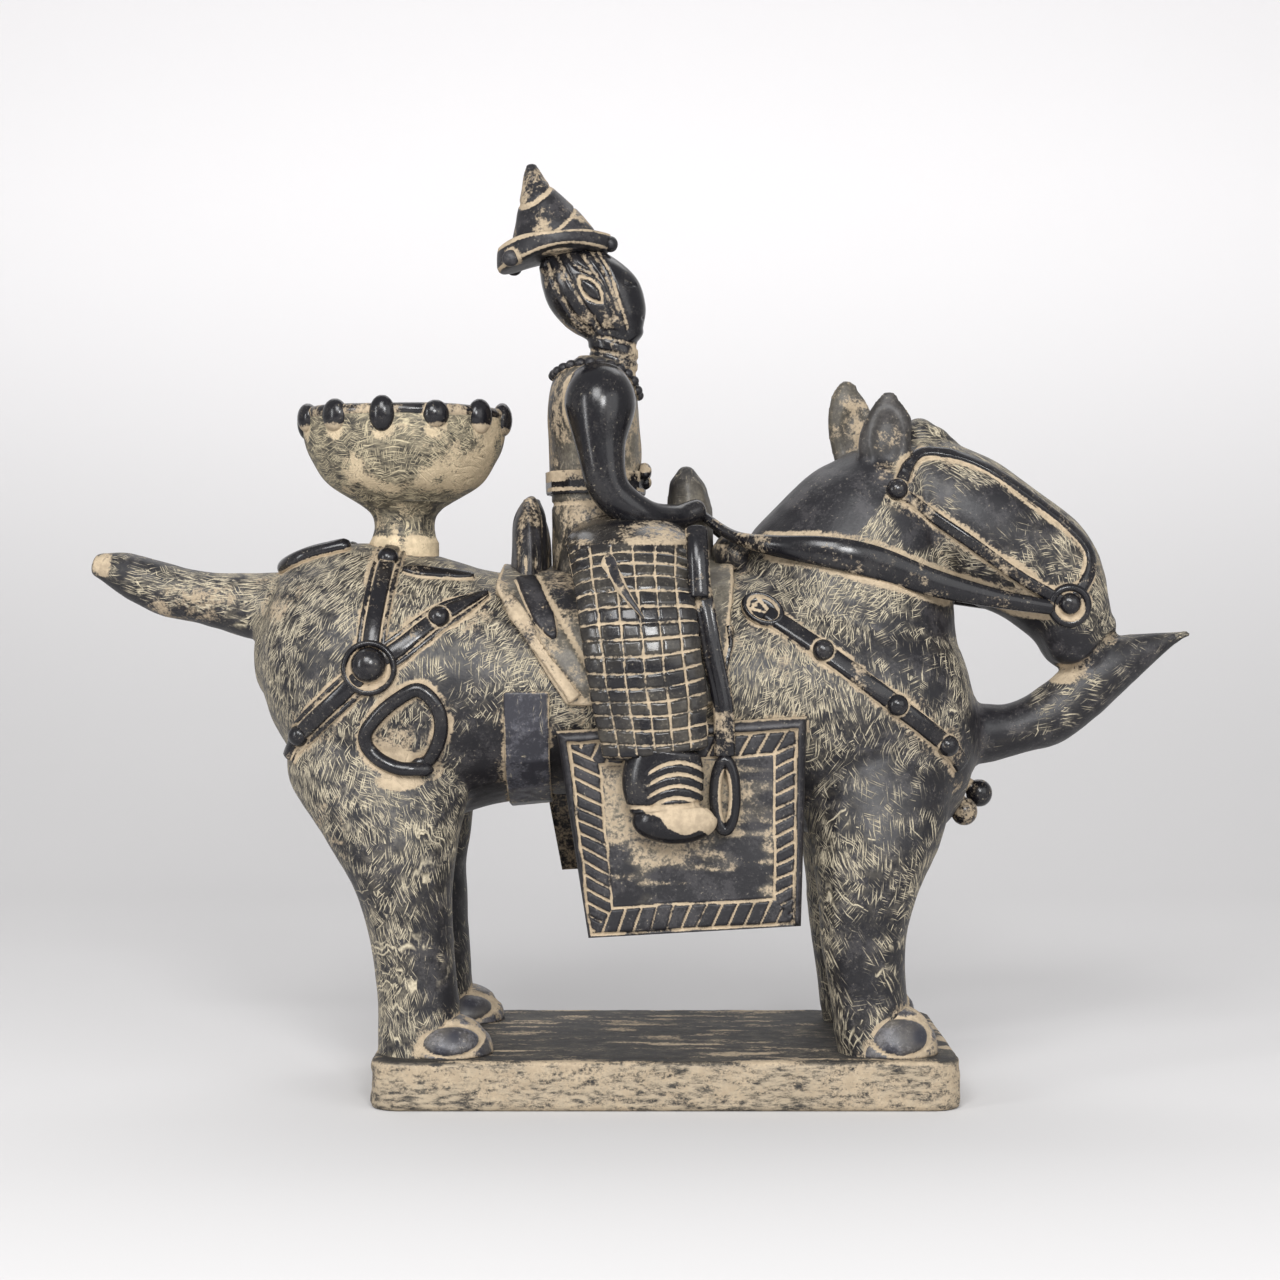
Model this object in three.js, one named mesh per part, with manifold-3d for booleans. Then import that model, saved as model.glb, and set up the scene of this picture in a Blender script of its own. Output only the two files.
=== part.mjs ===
// Clay horse with its rider, saddle gear and a small bowl on the rump.
// Millimetres, +Z up, +X towards the horse's head, +Y its left side.
// The origin is the middle of the base slab's underside. The horse's own heights count from the slab's top.

import * as THREE from "three";
import { mergeVertices } from "three/addons/utils/BufferGeometryUtils.js";
import Module from "manifold-3d";

const wasm = await Module();
wasm.setup();

// Seams and applied clay
const SEAM = 0.3;
const STRAP_THICKNESS = 2.2;
const STRAP_WIDTH = 6;
const STRAP_PARTING = 12; // between the ends of a right and a left strap on the back
const STUD_RADIUS = 3.3;
const STUD_HEIGHT = 2.6;
const ROOT_DEPTH = 6; // how far a piece is built into its neighbour before the seam is cut

// Base slab
const BASE_LENGTH = 168;
const BASE_DEPTH = 95;
const BASE_HEIGHT = 14;
const BASE_CORNER = 9;
const BASE_EDGE = 1.6;

// Horse
const TRUNK_WIDTH = 82;
const RUMP_TOP = 147;
const LEG_SPREAD = 57;
const LEG_WIDTH = 23;
const HOOF_LENGTH = 26;
const HOOF_WIDTH = 26;
const HIND_HOOF_HEIGHT = 11;
const FORE_HOOF_HEIGHT = 14;
const HIND_HOOF_X = -62.5;
const FORE_HOOF_X = 65.5;
const HOOF_SPLAY = 1.5;
const NECK_WIDTH = 70;
const HEAD_WIDTH = 41;
const EAR_SPREAD = 25;
const EAR_THICKNESS = 7;
const FORELOCK_WIDTH = 15;
const TAIL_WIDTH = 20;
const HORN_WIDTH = 20;

// Bridle and reins
const BRIDLE_WIDTH = 3.8;
const BRIDLE_THICKNESS = 1.6;
const BRIDLE_PARTING = 8; // between the right and the left face strap on the forehead
const BIT_RADIUS = 6.4;
const BIT_BALL = 3.2;
const BIT_SETBACK = 5.7;
const BIT_DROP = 23.9;
const REIN_THICKNESS = 5;

// Breast and hind gear
const BUCKLE_LENGTH = 12;
const BUCKLE_HEIGHT = 9;
const BUCKLE_RELIEF = 1;
const BELL_RADIUS = 4;
const BELL_SHANK = 4;
const ROSETTE_RADIUS = 7.8;
const ROSETTE_BALL = 5;
const ROSETTE_X = -84.2;
const ROSETTE_Z = 110.6;
const RING_LEAD = 10.6; // of the hip ring's middle ahead of the rosette
const RING_DROP = 17.6; // of the hip ring's middle below the rosette
const RING_LENGTH = 24;
const RING_HEIGHT = 27;
const RING_BAND = 4;
const RING_TILT = 20; // degrees
const CRUPPER_GAUGE = 5;
const CRUPPER_SPREAD = 22;

// Saddle
const PAD_THICKNESS = 2.8;
const POMMEL_WIDTH = 17;
const CANTLE_WIDTH = 36;
const GIRTH_GAP = 2;
const GIRTH_WIDTH = 13;
const GIRTH_TOP = 104;
const GIRTH_THICKNESS = 1.8;
const CLOTH_THICKNESS = 4.5;
const CLOTH_BEDDING = 1; // how far the flank presses into the back of a saddle cloth
const LEFT_CLOTH_SHIFT = -10;
const LEFT_CLOTH_RISE = 11;
const STIRRUP_X = 16.6;
const STIRRUP_Z = 75;
const STIRRUP_LENGTH = 9;
const STIRRUP_HEIGHT = 23;
const STIRRUP_GAUGE = 3.4;
const STIRRUP_STRAP_WIDTH = 6;
const STIRRUP_STRAP_THICKNESS = 3.6;

// Rider
const TORSO_WIDTH = 40;
const BELT_RISE = 19.5; // of the belt's top above the torso's seat
const BELT_HEIGHT = 7;
const BELT_THICKNESS = 1.2;
const SHOULDER_SPREAD = 42;
const TROUSER_THICKNESS = 14;
const TROUSER_BEDDING = 3; // how far a trouser leg presses on to the saddle cloth
const BOOT_THICKNESS = 12;
const BOOT_BEDDING = 1;
const FOOT_LENGTH = 24;
const FOOT_HEIGHT = 13;
const RIDER_HEAD_WIDTH = 21;
const HAT_WIDTH = 24;
const BRIM_RADIUS = 16.5;
const BRIM_THICKNESS = 4;
const BRIM_RISE = 2;
const BRIM_TILT = 9; // degrees

// Bowl
const BOWL_X = -78;
const STEM_HEIGHT = 11; // from the top of the rump
const STEM_RADIUS = 9.4;
const STEM_FOOT = 12.6;
const STEM_FLARE = 2;
const BOWL_RADIUS = 30.5;
const BOWL_HEIGHT = 25.7;
const BOWL_DEPTH = 17;
const BOWL_SEAT = 12.4;
const BOWL_FLOOR_RADIUS = 12;
const BOWL_WALL = 3.6;
const RIM_GAUGE = 4.2;
const PELLETS = 12;
const PELLET_WIDTH = 7.2;
const PELLET_HEIGHT = 9.6;
const PELLET_THICKNESS = 5.4;
const PELLET_SETBACK = 1.2;
const PELLET_RISE = 0.6;
const PELLET_TURN = -10; // degrees

// Fineness of the faceted surfaces
const BODY_SIDES = 20;
const HEAD_SIDES = 16;
const LIMB_SIDES = 12;
const SMALL_SIDES = 8;
const BOWL_SIDES = 20;
const COIL_SIDES = 6;
const REACH = 400; // longer than anything that a cut has to pass through

// Side outlines of the horse: x, z of one point, x, z of the point facing it, share of the piece's width
const TRUNK_ROWS = [
  [-119.5, 127, -119.5, 102, 0.4],
  [-114, 138, -114, 89, 0.66],
  [-104, 144.5, -104, 74, 0.86],
  [-90, RUMP_TOP, -90, 64, 0.97],
  [-70, 143.5, -70, 64, 1],
  [-46, 138, -46, 70.5, 1],
  [-18, 136.5, -18, 73, 1],
  [12, 138.5, 12, 70, 1],
  [36, 142, 36, 63, 0.99],
  [58, 140, 58, 57, 0.94],
  [76, 132, 76, 58, 0.82],
  [87, 118, 87, 67, 0.6],
  [92, 102, 92, 78, 0.34],
];
const NECK_ROWS = [
  [18, 128, 84, 82, 0.9],
  [24, 147, 88.5, 104, 0.9],
  [33, 158, 87, 124, 0.8],
  [43, 167.5, 86, 139, 0.7],
  [54, 174, 85, 154, 0.56],
];
const HEAD_ROWS = [
  [63, 174.5, 59, 158, 0.5],
  [80, 178.5, 69, 145, 0.84],
  [97, 173, 84, 133, 1],
  [112, 162.5, 100, 126, 0.92],
  [124.5, 152.5, 110.5, 119, 0.8],
  [131, 141, 115, 112.5, 0.7],
  [134.5, 126, 121, 108.5, 0.5],
];
const TAIL_ROWS = [
  [-169, 144.4, -171, 137, 0.34],
  [-160.5, 144.6, -161.5, 130.6, 0.66],
  [-150, 141.4, -150.5, 125.6, 0.76],
  [-138, 138.6, -138.5, 123.2, 0.82],
  [-126, 138.2, -126, 119.2, 0.94],
  [-111, 138.6, -112, 115, 1.1],
];
const HORN_ROWS = [
  [84, 99, 86, 80, 1.1],
  [92, 99.2, 97, 82, 1],
  [103, 99, 108, 86, 0.86],
  [114, 104.6, 119.5, 90.6, 0.8],
  [124, 113, 129, 97, 0.8],
  [135, 119.2, 138, 104.5, 0.7],
  [147, 120.6, 148.5, 113.2, 0.36],
  [155, 121, 155.5, 118.4, 0.16],
];
const RIGHT_EAR_ROWS = [
  [58, 165, 72, 164, 0.8],
  [57, 177, 73, 178, 1],
  [60, 185.5, 72.4, 184, 0.8],
  [63.5, 190.2, 69, 189.4, 0.4],
];
const LEFT_EAR_ROWS = [
  [53, 167, 67, 166, 0.8],
  [50, 182, 65, 182, 1],
  [50.8, 191, 62.5, 189.5, 0.8],
  [53, 195.4, 59, 194.4, 0.4],
];
const FORELOCK_ROWS = [
  [71, 181, 70, 171, 0.5],
  [76, 184.8, 74, 171, 0.75],
  [83, 182.2, 80, 170, 0.7],
  [89, 176.6, 85, 168, 0.45],
];
// Legs: front and back of the side outline, height, share of the leg's width, share of the spread
const HIND_LEG_ROWS = [
  [-60, -110, 92, 1.6, 0.6],
  [-57, -109.5, 78, 1.62, 0.72],
  [-59.5, -99, 62, 1.38, 0.9],
  [-61.5, -89.5, 46, 1.12, 1],
  [-61, -85, 30, 1, 1],
  [-60, -82.7, 13, 0.98, 1],
  [-58, -83, -3, 1.08, 1],
];
const FORE_LEG_ROWS = [
  [80, 40, 88, 1.6, 0.6],
  [83.5, 40, 74, 1.6, 0.72],
  [79.5, 42, 59, 1.4, 0.9],
  [72.5, 44.5, 45, 1.12, 1],
  [69, 45.5, 32, 1, 1],
  [69.5, 48, 14, 0.97, 1],
  [72, 50, -3, 1.05, 1],
];

// Side outlines of the rider and the saddle, in rows like the horse's
const TORSO_ROWS = [
  [-34, 136, -6, 136, 0.9],
  [-33.5, 149, -6.5, 149, 0.86],
  [-34, 162, -7, 162, 0.76],
  [-34.5, 176, -7, 176, 0.86],
  [-35, 189, -8, 189, 1],
  [-32.5, 198, -9, 196, 0.86],
  [-26, 203, -12, 200.5, 0.5],
];
const RIDER_NECK_ROWS = [
  [-22, 192, -9, 192, 0.6],
  [-22.5, 204, -7.8, 203, 0.62],
  [-24, 214, -9, 212, 0.66],
];
const RIDER_HEAD_ROWS = [
  [-37.5, 229, -27, 238, 0.7],
  [-35.5, 220, -17, 234, 1],
  [-30, 212.5, -8.5, 227, 0.96],
  [-21.5, 207.5, -5.6, 218.5, 0.74],
  [-14, 205.6, -6.4, 211.4, 0.5],
];
const HAT_ROWS = [
  [-46, 232, -20, 235, 1],
  [-45.5, 239, -21, 241, 0.96],
  [-43.8, 247, -27, 248, 0.7],
  [-42.6, 255, -35, 255.5, 0.36],
  [-41.4, 260, -38.2, 260.2, 0.16],
];
const CANTLE_ROWS = [
  [-46, 134, -34, 134, 1],
  [-45.5, 146, -34.2, 146, 0.94],
  [-45, 154, -35.4, 154, 0.76],
  [-42.4, 159.6, -37.4, 159.6, 0.42],
];
const POMMEL_ROWS = [
  [1.5, 134, 15.5, 134, 1],
  [1, 148, 15, 148, 0.9],
  [0.4, 158, 14.4, 158, 1],
  [1.2, 165.5, 12.6, 164.8, 0.8],
  [4, 169.4, 9.4, 168.8, 0.4],
];
// Trouser leg: x, distance in from the lap over the saddle cloth, z, half-length
const TROUSER_ROWS = [
  [-11, 37, 149, 16.5],
  [-10, 19, 144, 18.5],
  [-8.5, 5, 131, 17.4],
  [-6.8, 0, 116, 17],
  [-4.6, 0, 101, 16.6],
  [-3, 0, 87.5, 15.4],
];
// Boot's ankle: x, z, half-length
const ANKLE_ROWS = [
  [-0.5, 87, 10.8],
  [0, 79, 10.8],
  [0.5, 71, 10.6],
];
const FOOT_MIDDLE = [2.4, 68];
// Arm: x, distance out from the shoulder, z, half-thickness
const ARM_ROWS = [
  [-19, -4, 193, 7],
  [-18.6, 1, 185, 8.4],
  [-18, 4, 173, 6.8],
  [-15.4, 4, 161, 6.2],
  [-6, 1, 154.6, 4.6],
  [3, -7.5, 154.4, 3.6],
  [9.5, -11.5, 157, 4.5],
];
// Rein: x, share of the half-width of the neck or the head, z, half-height
const REIN_NECK_ROWS = [
  [9, 0.17, 157, 1.4],
  [20, 0.4, 149, 1.8],
  [31, 0.66, 146, 3],
  [46, 0.83, 144, 4.4],
  [60, 0.83, 141, 4.8],
];
const REIN_HEAD_ROWS = [
  [78, 1.17, 135, 4],
  [97, 0.95, 130.6, 2.8],
  [113, 0.8, 128, 2.2],
];
// Stirrup strap: x, distance in from the face of the saddle cloth, z
const STIRRUP_STRAP_ROWS = [
  [9, 6, 139],
  [11, 1.4, 127],
  [13.5, 0, 113],
  [16, 0, 101],
];

// Side views of the flat pieces, the straps and the studs: x, z
const BIT = [HEAD_ROWS[4][0] - BIT_SETBACK, HEAD_ROWS[4][1] - BIT_DROP];
const ROSETTE = [ROSETTE_X, ROSETTE_Z];
const PAD_OUTLINE = [
  [-47, 176],
  [-49, 133],
  [-37, 114],
  [-28, 100],
  [14, 100],
  [18, 118],
  [21, 144],
  [21, 176],
];
const CLOTH_OUTLINE = [[-31, 92.8], [40, 97], [38.3, 37.6], [-21.9, 34.2]];
const HIP_STUD = [-81.2, 141.5];
const SIDE_STUD = [-64.8, 124.6];
const BREECH_STUD = [-104.7, 91.3];
const BREAST_STUDS = [[44.7, 115.4], [65.8, 100], [80.7, 88.3]];
const BUCKLE = [28, 126.6];
const TEMPLE = [67.5, 162];
const HIP_STRAP_LINE = [[-81, 152], HIP_STUD, [-83.6, 120], ROSETTE];
const SIDE_STRAP_LINE = [[-51, 132], SIDE_STUD, [-76, 116], ROSETTE];
const BREECH_STRAP_LINE = [ROSETTE, [-91, 104], BREECH_STUD, [-109, 84]];
const BREAST_STRAP_LINE = [BUCKLE, ...BREAST_STUDS, [86.5, 81]];
const CHEEK_STRAP_LINE = [TEMPLE, [86, 149.4], [103.4, 137.4], BIT];
const FACE_STRAP_LINE = [TEMPLE, [75, 173], [90, 171], [108, 160], [123, 147.5], [125, 139], BIT];
const BELLS = [[89.6, -2.5, 67], [95, 4.5, 72]]; // x, y, z
// Crupper loop seen from above: x, share of the spread
const CRUPPER_ROWS = [[-92, -1], [-101, -1], [-109, -0.8], [-113, 0], [-109, 0.8], [-101, 1], [-92, 1]];

const SIDES = [["right", -1], ["left", 1]];
const radians = THREE.MathUtils.degToRad;

// Solids and geometry

function solidOf(geometry) {
  const bare = geometry.clone();
  bare.deleteAttribute("normal");
  bare.deleteAttribute("uv");
  const welded = mergeVertices(bare, 1e-4);
  const vertProperties = new Float32Array(welded.attributes.position.array);
  const triVerts = new Uint32Array(welded.index.array);
  const solid = new wasm.Manifold(new wasm.Mesh({ numProp: 3, vertProperties, triVerts }));
  if (solid.volume() > 0) {
    return solid;
  }
  return new wasm.Manifold(new wasm.Mesh({ numProp: 3, vertProperties, triVerts: triVerts.reverse() }));
}

function geometryOf(solid) {
  const mesh = solid.getMesh();
  const geometry = new THREE.BufferGeometry();
  geometry.setAttribute("position", new THREE.BufferAttribute(new Float32Array(mesh.vertProperties), 3));
  geometry.setIndex(new THREE.BufferAttribute(new Uint32Array(mesh.triVerts), 1));
  geometry.computeVertexNormals();
  return geometry;
}

function join(...solids) {
  return solids.reduce((whole, solid) => whole.add(solid));
}

function cut(solid, ...tools) {
  return tools.reduce((rest, tool) => rest.subtract(tool), solid);
}

// A closed skin over rings of points, each end closed by a fan
function skin(rings) {
  const count = rings[0].length;
  const index = [];
  for (let ring = 0; ring + 1 < rings.length; ring += 1) {
    for (let k = 0; k < count; k += 1) {
      const a = ring * count + k;
      const b = ring * count + ((k + 1) % count);
      index.push(a, b, b + count, a, b + count, a + count);
    }
  }
  const last = (rings.length - 1) * count;
  for (let k = 1; k + 1 < count; k += 1) {
    index.push(0, k + 1, k);
    index.push(last, last + k, last + k + 1);
  }
  const geometry = new THREE.BufferGeometry().setFromPoints(rings.flat());
  geometry.setIndex(index);
  return solidOf(geometry);
}

function ovalRing({ centre, across, along }, sides) {
  const ring = [];
  for (let k = 0; k < sides; k += 1) {
    const angle = (2 * Math.PI * k) / sides;
    const point = centre.clone();
    point.addScaledVector(across, Math.cos(angle));
    point.addScaledVector(along, Math.sin(angle));
    ring.push(point);
  }
  return ring;
}

// Shares of a dome's length at which its rings stand, from the tip inwards
const DOME_STEPS = [0.94, 0.6];

// Rings that close the end of a limb as a dome
function domeRings(station, neighbour, length, sides) {
  const axis = station.across.clone().cross(station.along).normalize();
  if (axis.dot(station.centre.clone().sub(neighbour.centre)) < 0) {
    axis.negate();
  }
  return DOME_STEPS.map((step) => {
    const share = Math.sqrt(1 - step * step);
    const centre = station.centre.clone().addScaledVector(axis, length * step);
    const across = station.across.clone().multiplyScalar(share);
    const along = station.along.clone().multiplyScalar(share);
    return ovalRing({ centre, across, along }, sides);
  });
}

// A limb over oval stations, each a centre with a half-width and a half-height vector
function limb(stations, sides, domes, grow) {
  const rings = stations.map((station) => ovalRing(station, sides));
  const [first, second] = stations;
  const [beforeLast, last] = stations.slice(-2);
  const start = domeRings(first, second, domes[0] + grow, sides);
  const end = domeRings(last, beforeLast, domes[1] + grow, sides).reverse();
  return skin([...start, ...rings, ...end]);
}

// A smooth line through points in space, sampled between them
function sampled(points, steps) {
  const line = new THREE.CatmullRomCurve3(points.map((point) => new THREE.Vector3(...point)));
  const count = (points.length - 1) * steps;
  return Array.from({ length: count + 1 }, (_, i) => ({
    point: line.getPoint(i / count),
    tangent: line.getTangent(i / count),
  }));
}

// A form between two facing side outlines, whose middle may follow a share of a distance to one side
function loft(rows, width, options) {
  const { steps = 1, sides = LIMB_SIDES, domes = [2, 2], grow = 0, middle = 0 } = options;
  const over = sampled(rows.map((row) => [row[0], 0, row[1]]), steps);
  const under = sampled(rows.map((row) => [row[2], 0, row[3]]), steps);
  const shares = sampled(rows.map((row) => [row[4], row[5] ?? 1, 0]), steps);
  const stations = over.map(({ point }, i) => {
    const facing = under[i].point;
    const share = shares[i].point;
    const centre = point.clone().add(facing).multiplyScalar(0.5);
    centre.y = middle * share.y;
    const along = point.clone().sub(facing).multiplyScalar(0.5);
    along.setLength(along.length() + grow);
    return { centre, across: new THREE.Vector3(0, (width / 2) * share.x + grow, 0), along };
  });
  return limb(stations, sides, domes, grow);
}

// A rolled limb through points in space: rows are x, y, z, half-size across and half-size along
function roll(rows, options) {
  const { steps = 2, sides = SMALL_SIDES, domes = [1, 1], grow = 0, facing = [0, 1, 0] } = options;
  const line = sampled(rows.map((row) => row.slice(0, 3)), steps);
  const sizes = sampled(rows.map((row) => [row[3], row[4], 0]), steps);
  const stations = line.map(({ point, tangent }, i) => {
    const half = sizes[i].point;
    const across = new THREE.Vector3(...facing);
    across.addScaledVector(tangent, -across.dot(tangent)).setLength(half.x + grow);
    const along = tangent.clone().cross(across).setLength(half.y + grow);
    return { centre: point, across, along };
  });
  return limb(stations, sides, domes, grow);
}

// A flat outline in the side view, cut out of clay between two distances from the middle plane
function plank(outline, from, to, hole = []) {
  const shape = new THREE.Shape(outline.map(([x, z]) => new THREE.Vector2(x, z)));
  if (hole.length > 0) {
    shape.holes.push(new THREE.Path(hole.map(([x, z]) => new THREE.Vector2(x, z))));
  }
  const geometry = new THREE.ExtrudeGeometry(shape, { depth: to - from, bevelEnabled: false });
  geometry.rotateX(Math.PI / 2);
  geometry.translate(0, to, 0);
  return solidOf(geometry);
}

function block(left, bottom, right, top) {
  return plank([[left, bottom], [right, bottom], [right, top], [left, top]], -REACH, REACH);
}

// A band of one width along a smooth line
function bandOutline(points, width) {
  const over = [];
  const under = [];
  for (const { point, tangent } of sampled(points.map(([x, z]) => [x, z, 0]), 2)) {
    over.push([point.x - (tangent.y * width) / 2, point.y + (tangent.x * width) / 2]);
    under.unshift([point.x + (tangent.y * width) / 2, point.y - (tangent.x * width) / 2]);
  }
  return [...over, ...under];
}

// A flat outline moved outwards on every side
function widened(outline, grow) {
  const middleX = outline.reduce((sum, [x]) => sum + x, 0) / outline.length;
  const middleZ = outline.reduce((sum, [, z]) => sum + z, 0) / outline.length;
  return outline.map(([x, z]) => [x + grow * Math.sign(x - middleX), z + grow * Math.sign(z - middleZ)]);
}

// One side of the horse, from a distance off the middle plane outwards
function sideSpan(side, inner) {
  return side < 0 ? [-REACH, -inner] : [inner, REACH];
}

function sideBand(points, width, side, parting) {
  return plank(bandOutline(points, width), ...sideSpan(side, parting / 2));
}

// An oval outline, turned in its plane
function oval([x, z], length, height, turn = 0) {
  const outline = [];
  for (let k = 0; k < HEAD_SIDES; k += 1) {
    const angle = (2 * Math.PI * k) / HEAD_SIDES;
    const point = new THREE.Vector2((length / 2) * Math.cos(angle), (height / 2) * Math.sin(angle));
    point.rotateAround(new THREE.Vector2(), turn);
    outline.push([x + point.x, z + point.y]);
  }
  return outline;
}

function turned(profile, sides) {
  return new THREE.LatheGeometry(profile.map(([r, h]) => new THREE.Vector2(r, h)), sides);
}

// A turned form that stands upright on the middle plane
function upright(profile, x, sides) {
  return solidOf(turned(profile, sides).rotateX(Math.PI / 2).translate(x, 0, 0));
}

// A turned boss whose axis stands on the surface of a body, where a side view shows it
function boss(profile, [x, z], side, body, sides = SMALL_SIDES) {
  const target = new THREE.Mesh(geometryOf(body), new THREE.MeshBasicMaterial());
  const ray = new THREE.Raycaster(new THREE.Vector3(x, side * REACH, z), new THREE.Vector3(0, -side, 0));
  const [hit] = ray.intersectObject(target);
  const turn = new THREE.Quaternion().setFromUnitVectors(new THREE.Vector3(0, 1, 0), hit.face.normal);
  const geometry = turned(profile, sides).applyQuaternion(turn);
  return solidOf(geometry.translate(hit.point.x, hit.point.y, hit.point.z));
}

// A rounded ball on a foot of its own radius
function ballProfile(radius, foot, height) {
  return [[radius, foot + height * 0.3], [radius * 0.75, foot + height * 0.75], [0, foot + height]];
}

// A stud with a root that reaches into the clay below
function studProfile(radius, height) {
  return [[0, -ROOT_DEPTH], [radius, -ROOT_DEPTH], ...ballProfile(radius, 0, height)];
}

// A round plate that carries a ball in its middle
function platedProfile(radius, thickness, ball, height) {
  const plate = [[0, -ROOT_DEPTH], [radius, -ROOT_DEPTH], [radius, thickness], [ball, thickness]];
  return [...plate, ...ballProfile(ball, thickness, height)];
}

function ellipsoid(centre, halves, grow = 0) {
  const geometry = new THREE.SphereGeometry(1, LIMB_SIDES, LIMB_SIDES / 2);
  geometry.scale(...halves.map((half) => half + grow));
  return solidOf(geometry.translate(...centre));
}

// Horse forms, each grown outwards on demand so that its neighbours can be cut to it

function base() {
  const reachX = BASE_LENGTH / 2 - BASE_EDGE;
  const reachY = BASE_DEPTH / 2 - BASE_EDGE;
  const corner = BASE_CORNER - BASE_EDGE;
  const shape = new THREE.Shape();
  shape.absarc(reachX - corner, corner - reachY, corner, -Math.PI / 2, 0);
  shape.absarc(reachX - corner, reachY - corner, corner, 0, Math.PI / 2);
  shape.absarc(corner - reachX, reachY - corner, corner, Math.PI / 2, Math.PI);
  shape.absarc(corner - reachX, corner - reachY, corner, Math.PI, 1.5 * Math.PI);
  const bevel = { bevelThickness: BASE_EDGE, bevelSize: BASE_EDGE, bevelSegments: 1 };
  const depth = BASE_HEIGHT - 2 * BASE_EDGE;
  const geometry = new THREE.ExtrudeGeometry(shape, { depth, curveSegments: 3, ...bevel });
  return solidOf(geometry.translate(0, 0, BASE_EDGE - BASE_HEIGHT));
}

function trunk(grow) {
  return loft(TRUNK_ROWS, TRUNK_WIDTH, { sides: BODY_SIDES, domes: [2.4, 2], grow });
}

function leg(rows, side, grow) {
  const pairs = rows.map(([front, back, z, width, spread]) => [front, z, back, z, width, spread]);
  return loft(pairs, LEG_WIDTH, { grow, middle: (side * LEG_SPREAD) / 2 });
}

function hoof(x, height, side) {
  const y = side * (LEG_SPREAD / 2 + HOOF_SPLAY);
  return ellipsoid([x, y, 0], [HOOF_LENGTH / 2, HOOF_WIDTH / 2, height]);
}

function neck(grow) {
  return loft(NECK_ROWS, NECK_WIDTH, { sides: BODY_SIDES, steps: 2, domes: [1, 6], grow });
}

function head(grow) {
  return loft(HEAD_ROWS, HEAD_WIDTH, { sides: HEAD_SIDES, steps: 2, domes: [5, 5], grow });
}

function ear(side, grow) {
  const rows = side < 0 ? RIGHT_EAR_ROWS : LEFT_EAR_ROWS;
  return loft(rows, EAR_THICKNESS, { sides: SMALL_SIDES, grow, middle: (side * EAR_SPREAD) / 2 });
}

function forelock(grow) {
  return loft(FORELOCK_ROWS, FORELOCK_WIDTH, { sides: SMALL_SIDES, grow });
}

function tail(grow) {
  return loft(TAIL_ROWS, TAIL_WIDTH, { grow });
}

function horn(grow) {
  return loft(HORN_ROWS, HORN_WIDTH, { sides: SMALL_SIDES, domes: [1, 3], grow });
}

// The horse's flesh on one side, which straps are pressed on to
function flesh(side, grow) {
  return join(trunk(grow), neck(grow), leg(HIND_LEG_ROWS, side, grow), leg(FORE_LEG_ROWS, side, grow));
}

function rump(grow) {
  return join(trunk(grow), tail(grow));
}

function headAndNeck(grow) {
  return join(head(grow), neck(grow));
}

// A flat strip of clay pressed on to a body
function pressed(blank, body, thickness) {
  return cut(blank.intersect(body(SEAM + thickness)), body(SEAM));
}

// Saddle forms

function padTop(grow) {
  return trunk(SEAM + PAD_THICKNESS + grow);
}

function pommel(grow) {
  return loft(POMMEL_ROWS, POMMEL_WIDTH, { sides: SMALL_SIDES, domes: [1, 1.5], grow });
}

const CLOTH_BACK = TRUNK_WIDTH / 2 - CLOTH_BEDDING;
const CLOTH_FACE = CLOTH_BACK + CLOTH_THICKNESS;

function cloth(side, grow) {
  const shift = side > 0 ? LEFT_CLOTH_SHIFT : 0;
  const rise = side > 0 ? LEFT_CLOTH_RISE : 0;
  const [backTop, frontTop, frontFoot, backFoot] = CLOTH_OUTLINE;
  const feet = [frontFoot, backFoot].map(([x, z]) => [x, z + rise]);
  const hung = [backTop, frontTop, ...feet].map(([x, z]) => [x + shift, z]);
  const [from, to] = [CLOTH_BACK - grow, CLOTH_FACE + grow];
  return side < 0 ? plank(widened(hung, grow), -to, -from) : plank(widened(hung, grow), from, to);
}

function stirrup(side, grow) {
  const half = STIRRUP_GAUGE / 2;
  const y = side * (CLOTH_FACE + SEAM + half);
  const rows = [];
  for (let k = 0; k < LIMB_SIDES; k += 1) {
    const angle = (2 * Math.PI * k) / LIMB_SIDES;
    const out = new THREE.Vector3(Math.cos(angle), 0, Math.sin(angle));
    const centre = new THREE.Vector3(STIRRUP_X, y, STIRRUP_Z);
    centre.x += (STIRRUP_LENGTH / 2 - half) * out.x;
    centre.z += (STIRRUP_HEIGHT / 2 - half) * out.z;
    const across = out.multiplyScalar(half + grow);
    rows.push(ovalRing({ centre, across, along: new THREE.Vector3(0, half + grow, 0) }, SMALL_SIDES));
  }
  return skinLoop(rows);
}

// A closed skin over rings that run round in a loop
function skinLoop(rings) {
  const count = rings[0].length;
  const index = [];
  rings.forEach((_, ring) => {
    const next = (ring + 1) % rings.length;
    for (let k = 0; k < count; k += 1) {
      const step = (k + 1) % count;
      index.push(ring * count + k, ring * count + step, next * count + step);
      index.push(ring * count + k, next * count + step, next * count + k);
    }
  });
  const geometry = new THREE.BufferGeometry().setFromPoints(rings.flat());
  geometry.setIndex(index);
  return solidOf(geometry);
}

function stirrupStrap(side) {
  const half = STIRRUP_STRAP_THICKNESS / 2;
  const face = CLOTH_FACE + half;
  const rows = [...STIRRUP_STRAP_ROWS, [STIRRUP_X, 0, STIRRUP_Z + STIRRUP_HEIGHT / 2]];
  const line = rows.map(([x, inset, z]) => [x, side * (face - inset), z, STIRRUP_STRAP_WIDTH / 2, half]);
  return roll(line, { steps: 1, facing: [1, 0, 0] });
}

// Rider forms

function torso(grow) {
  return loft(TORSO_ROWS, TORSO_WIDTH, { domes: [1, 1], grow });
}

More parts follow.
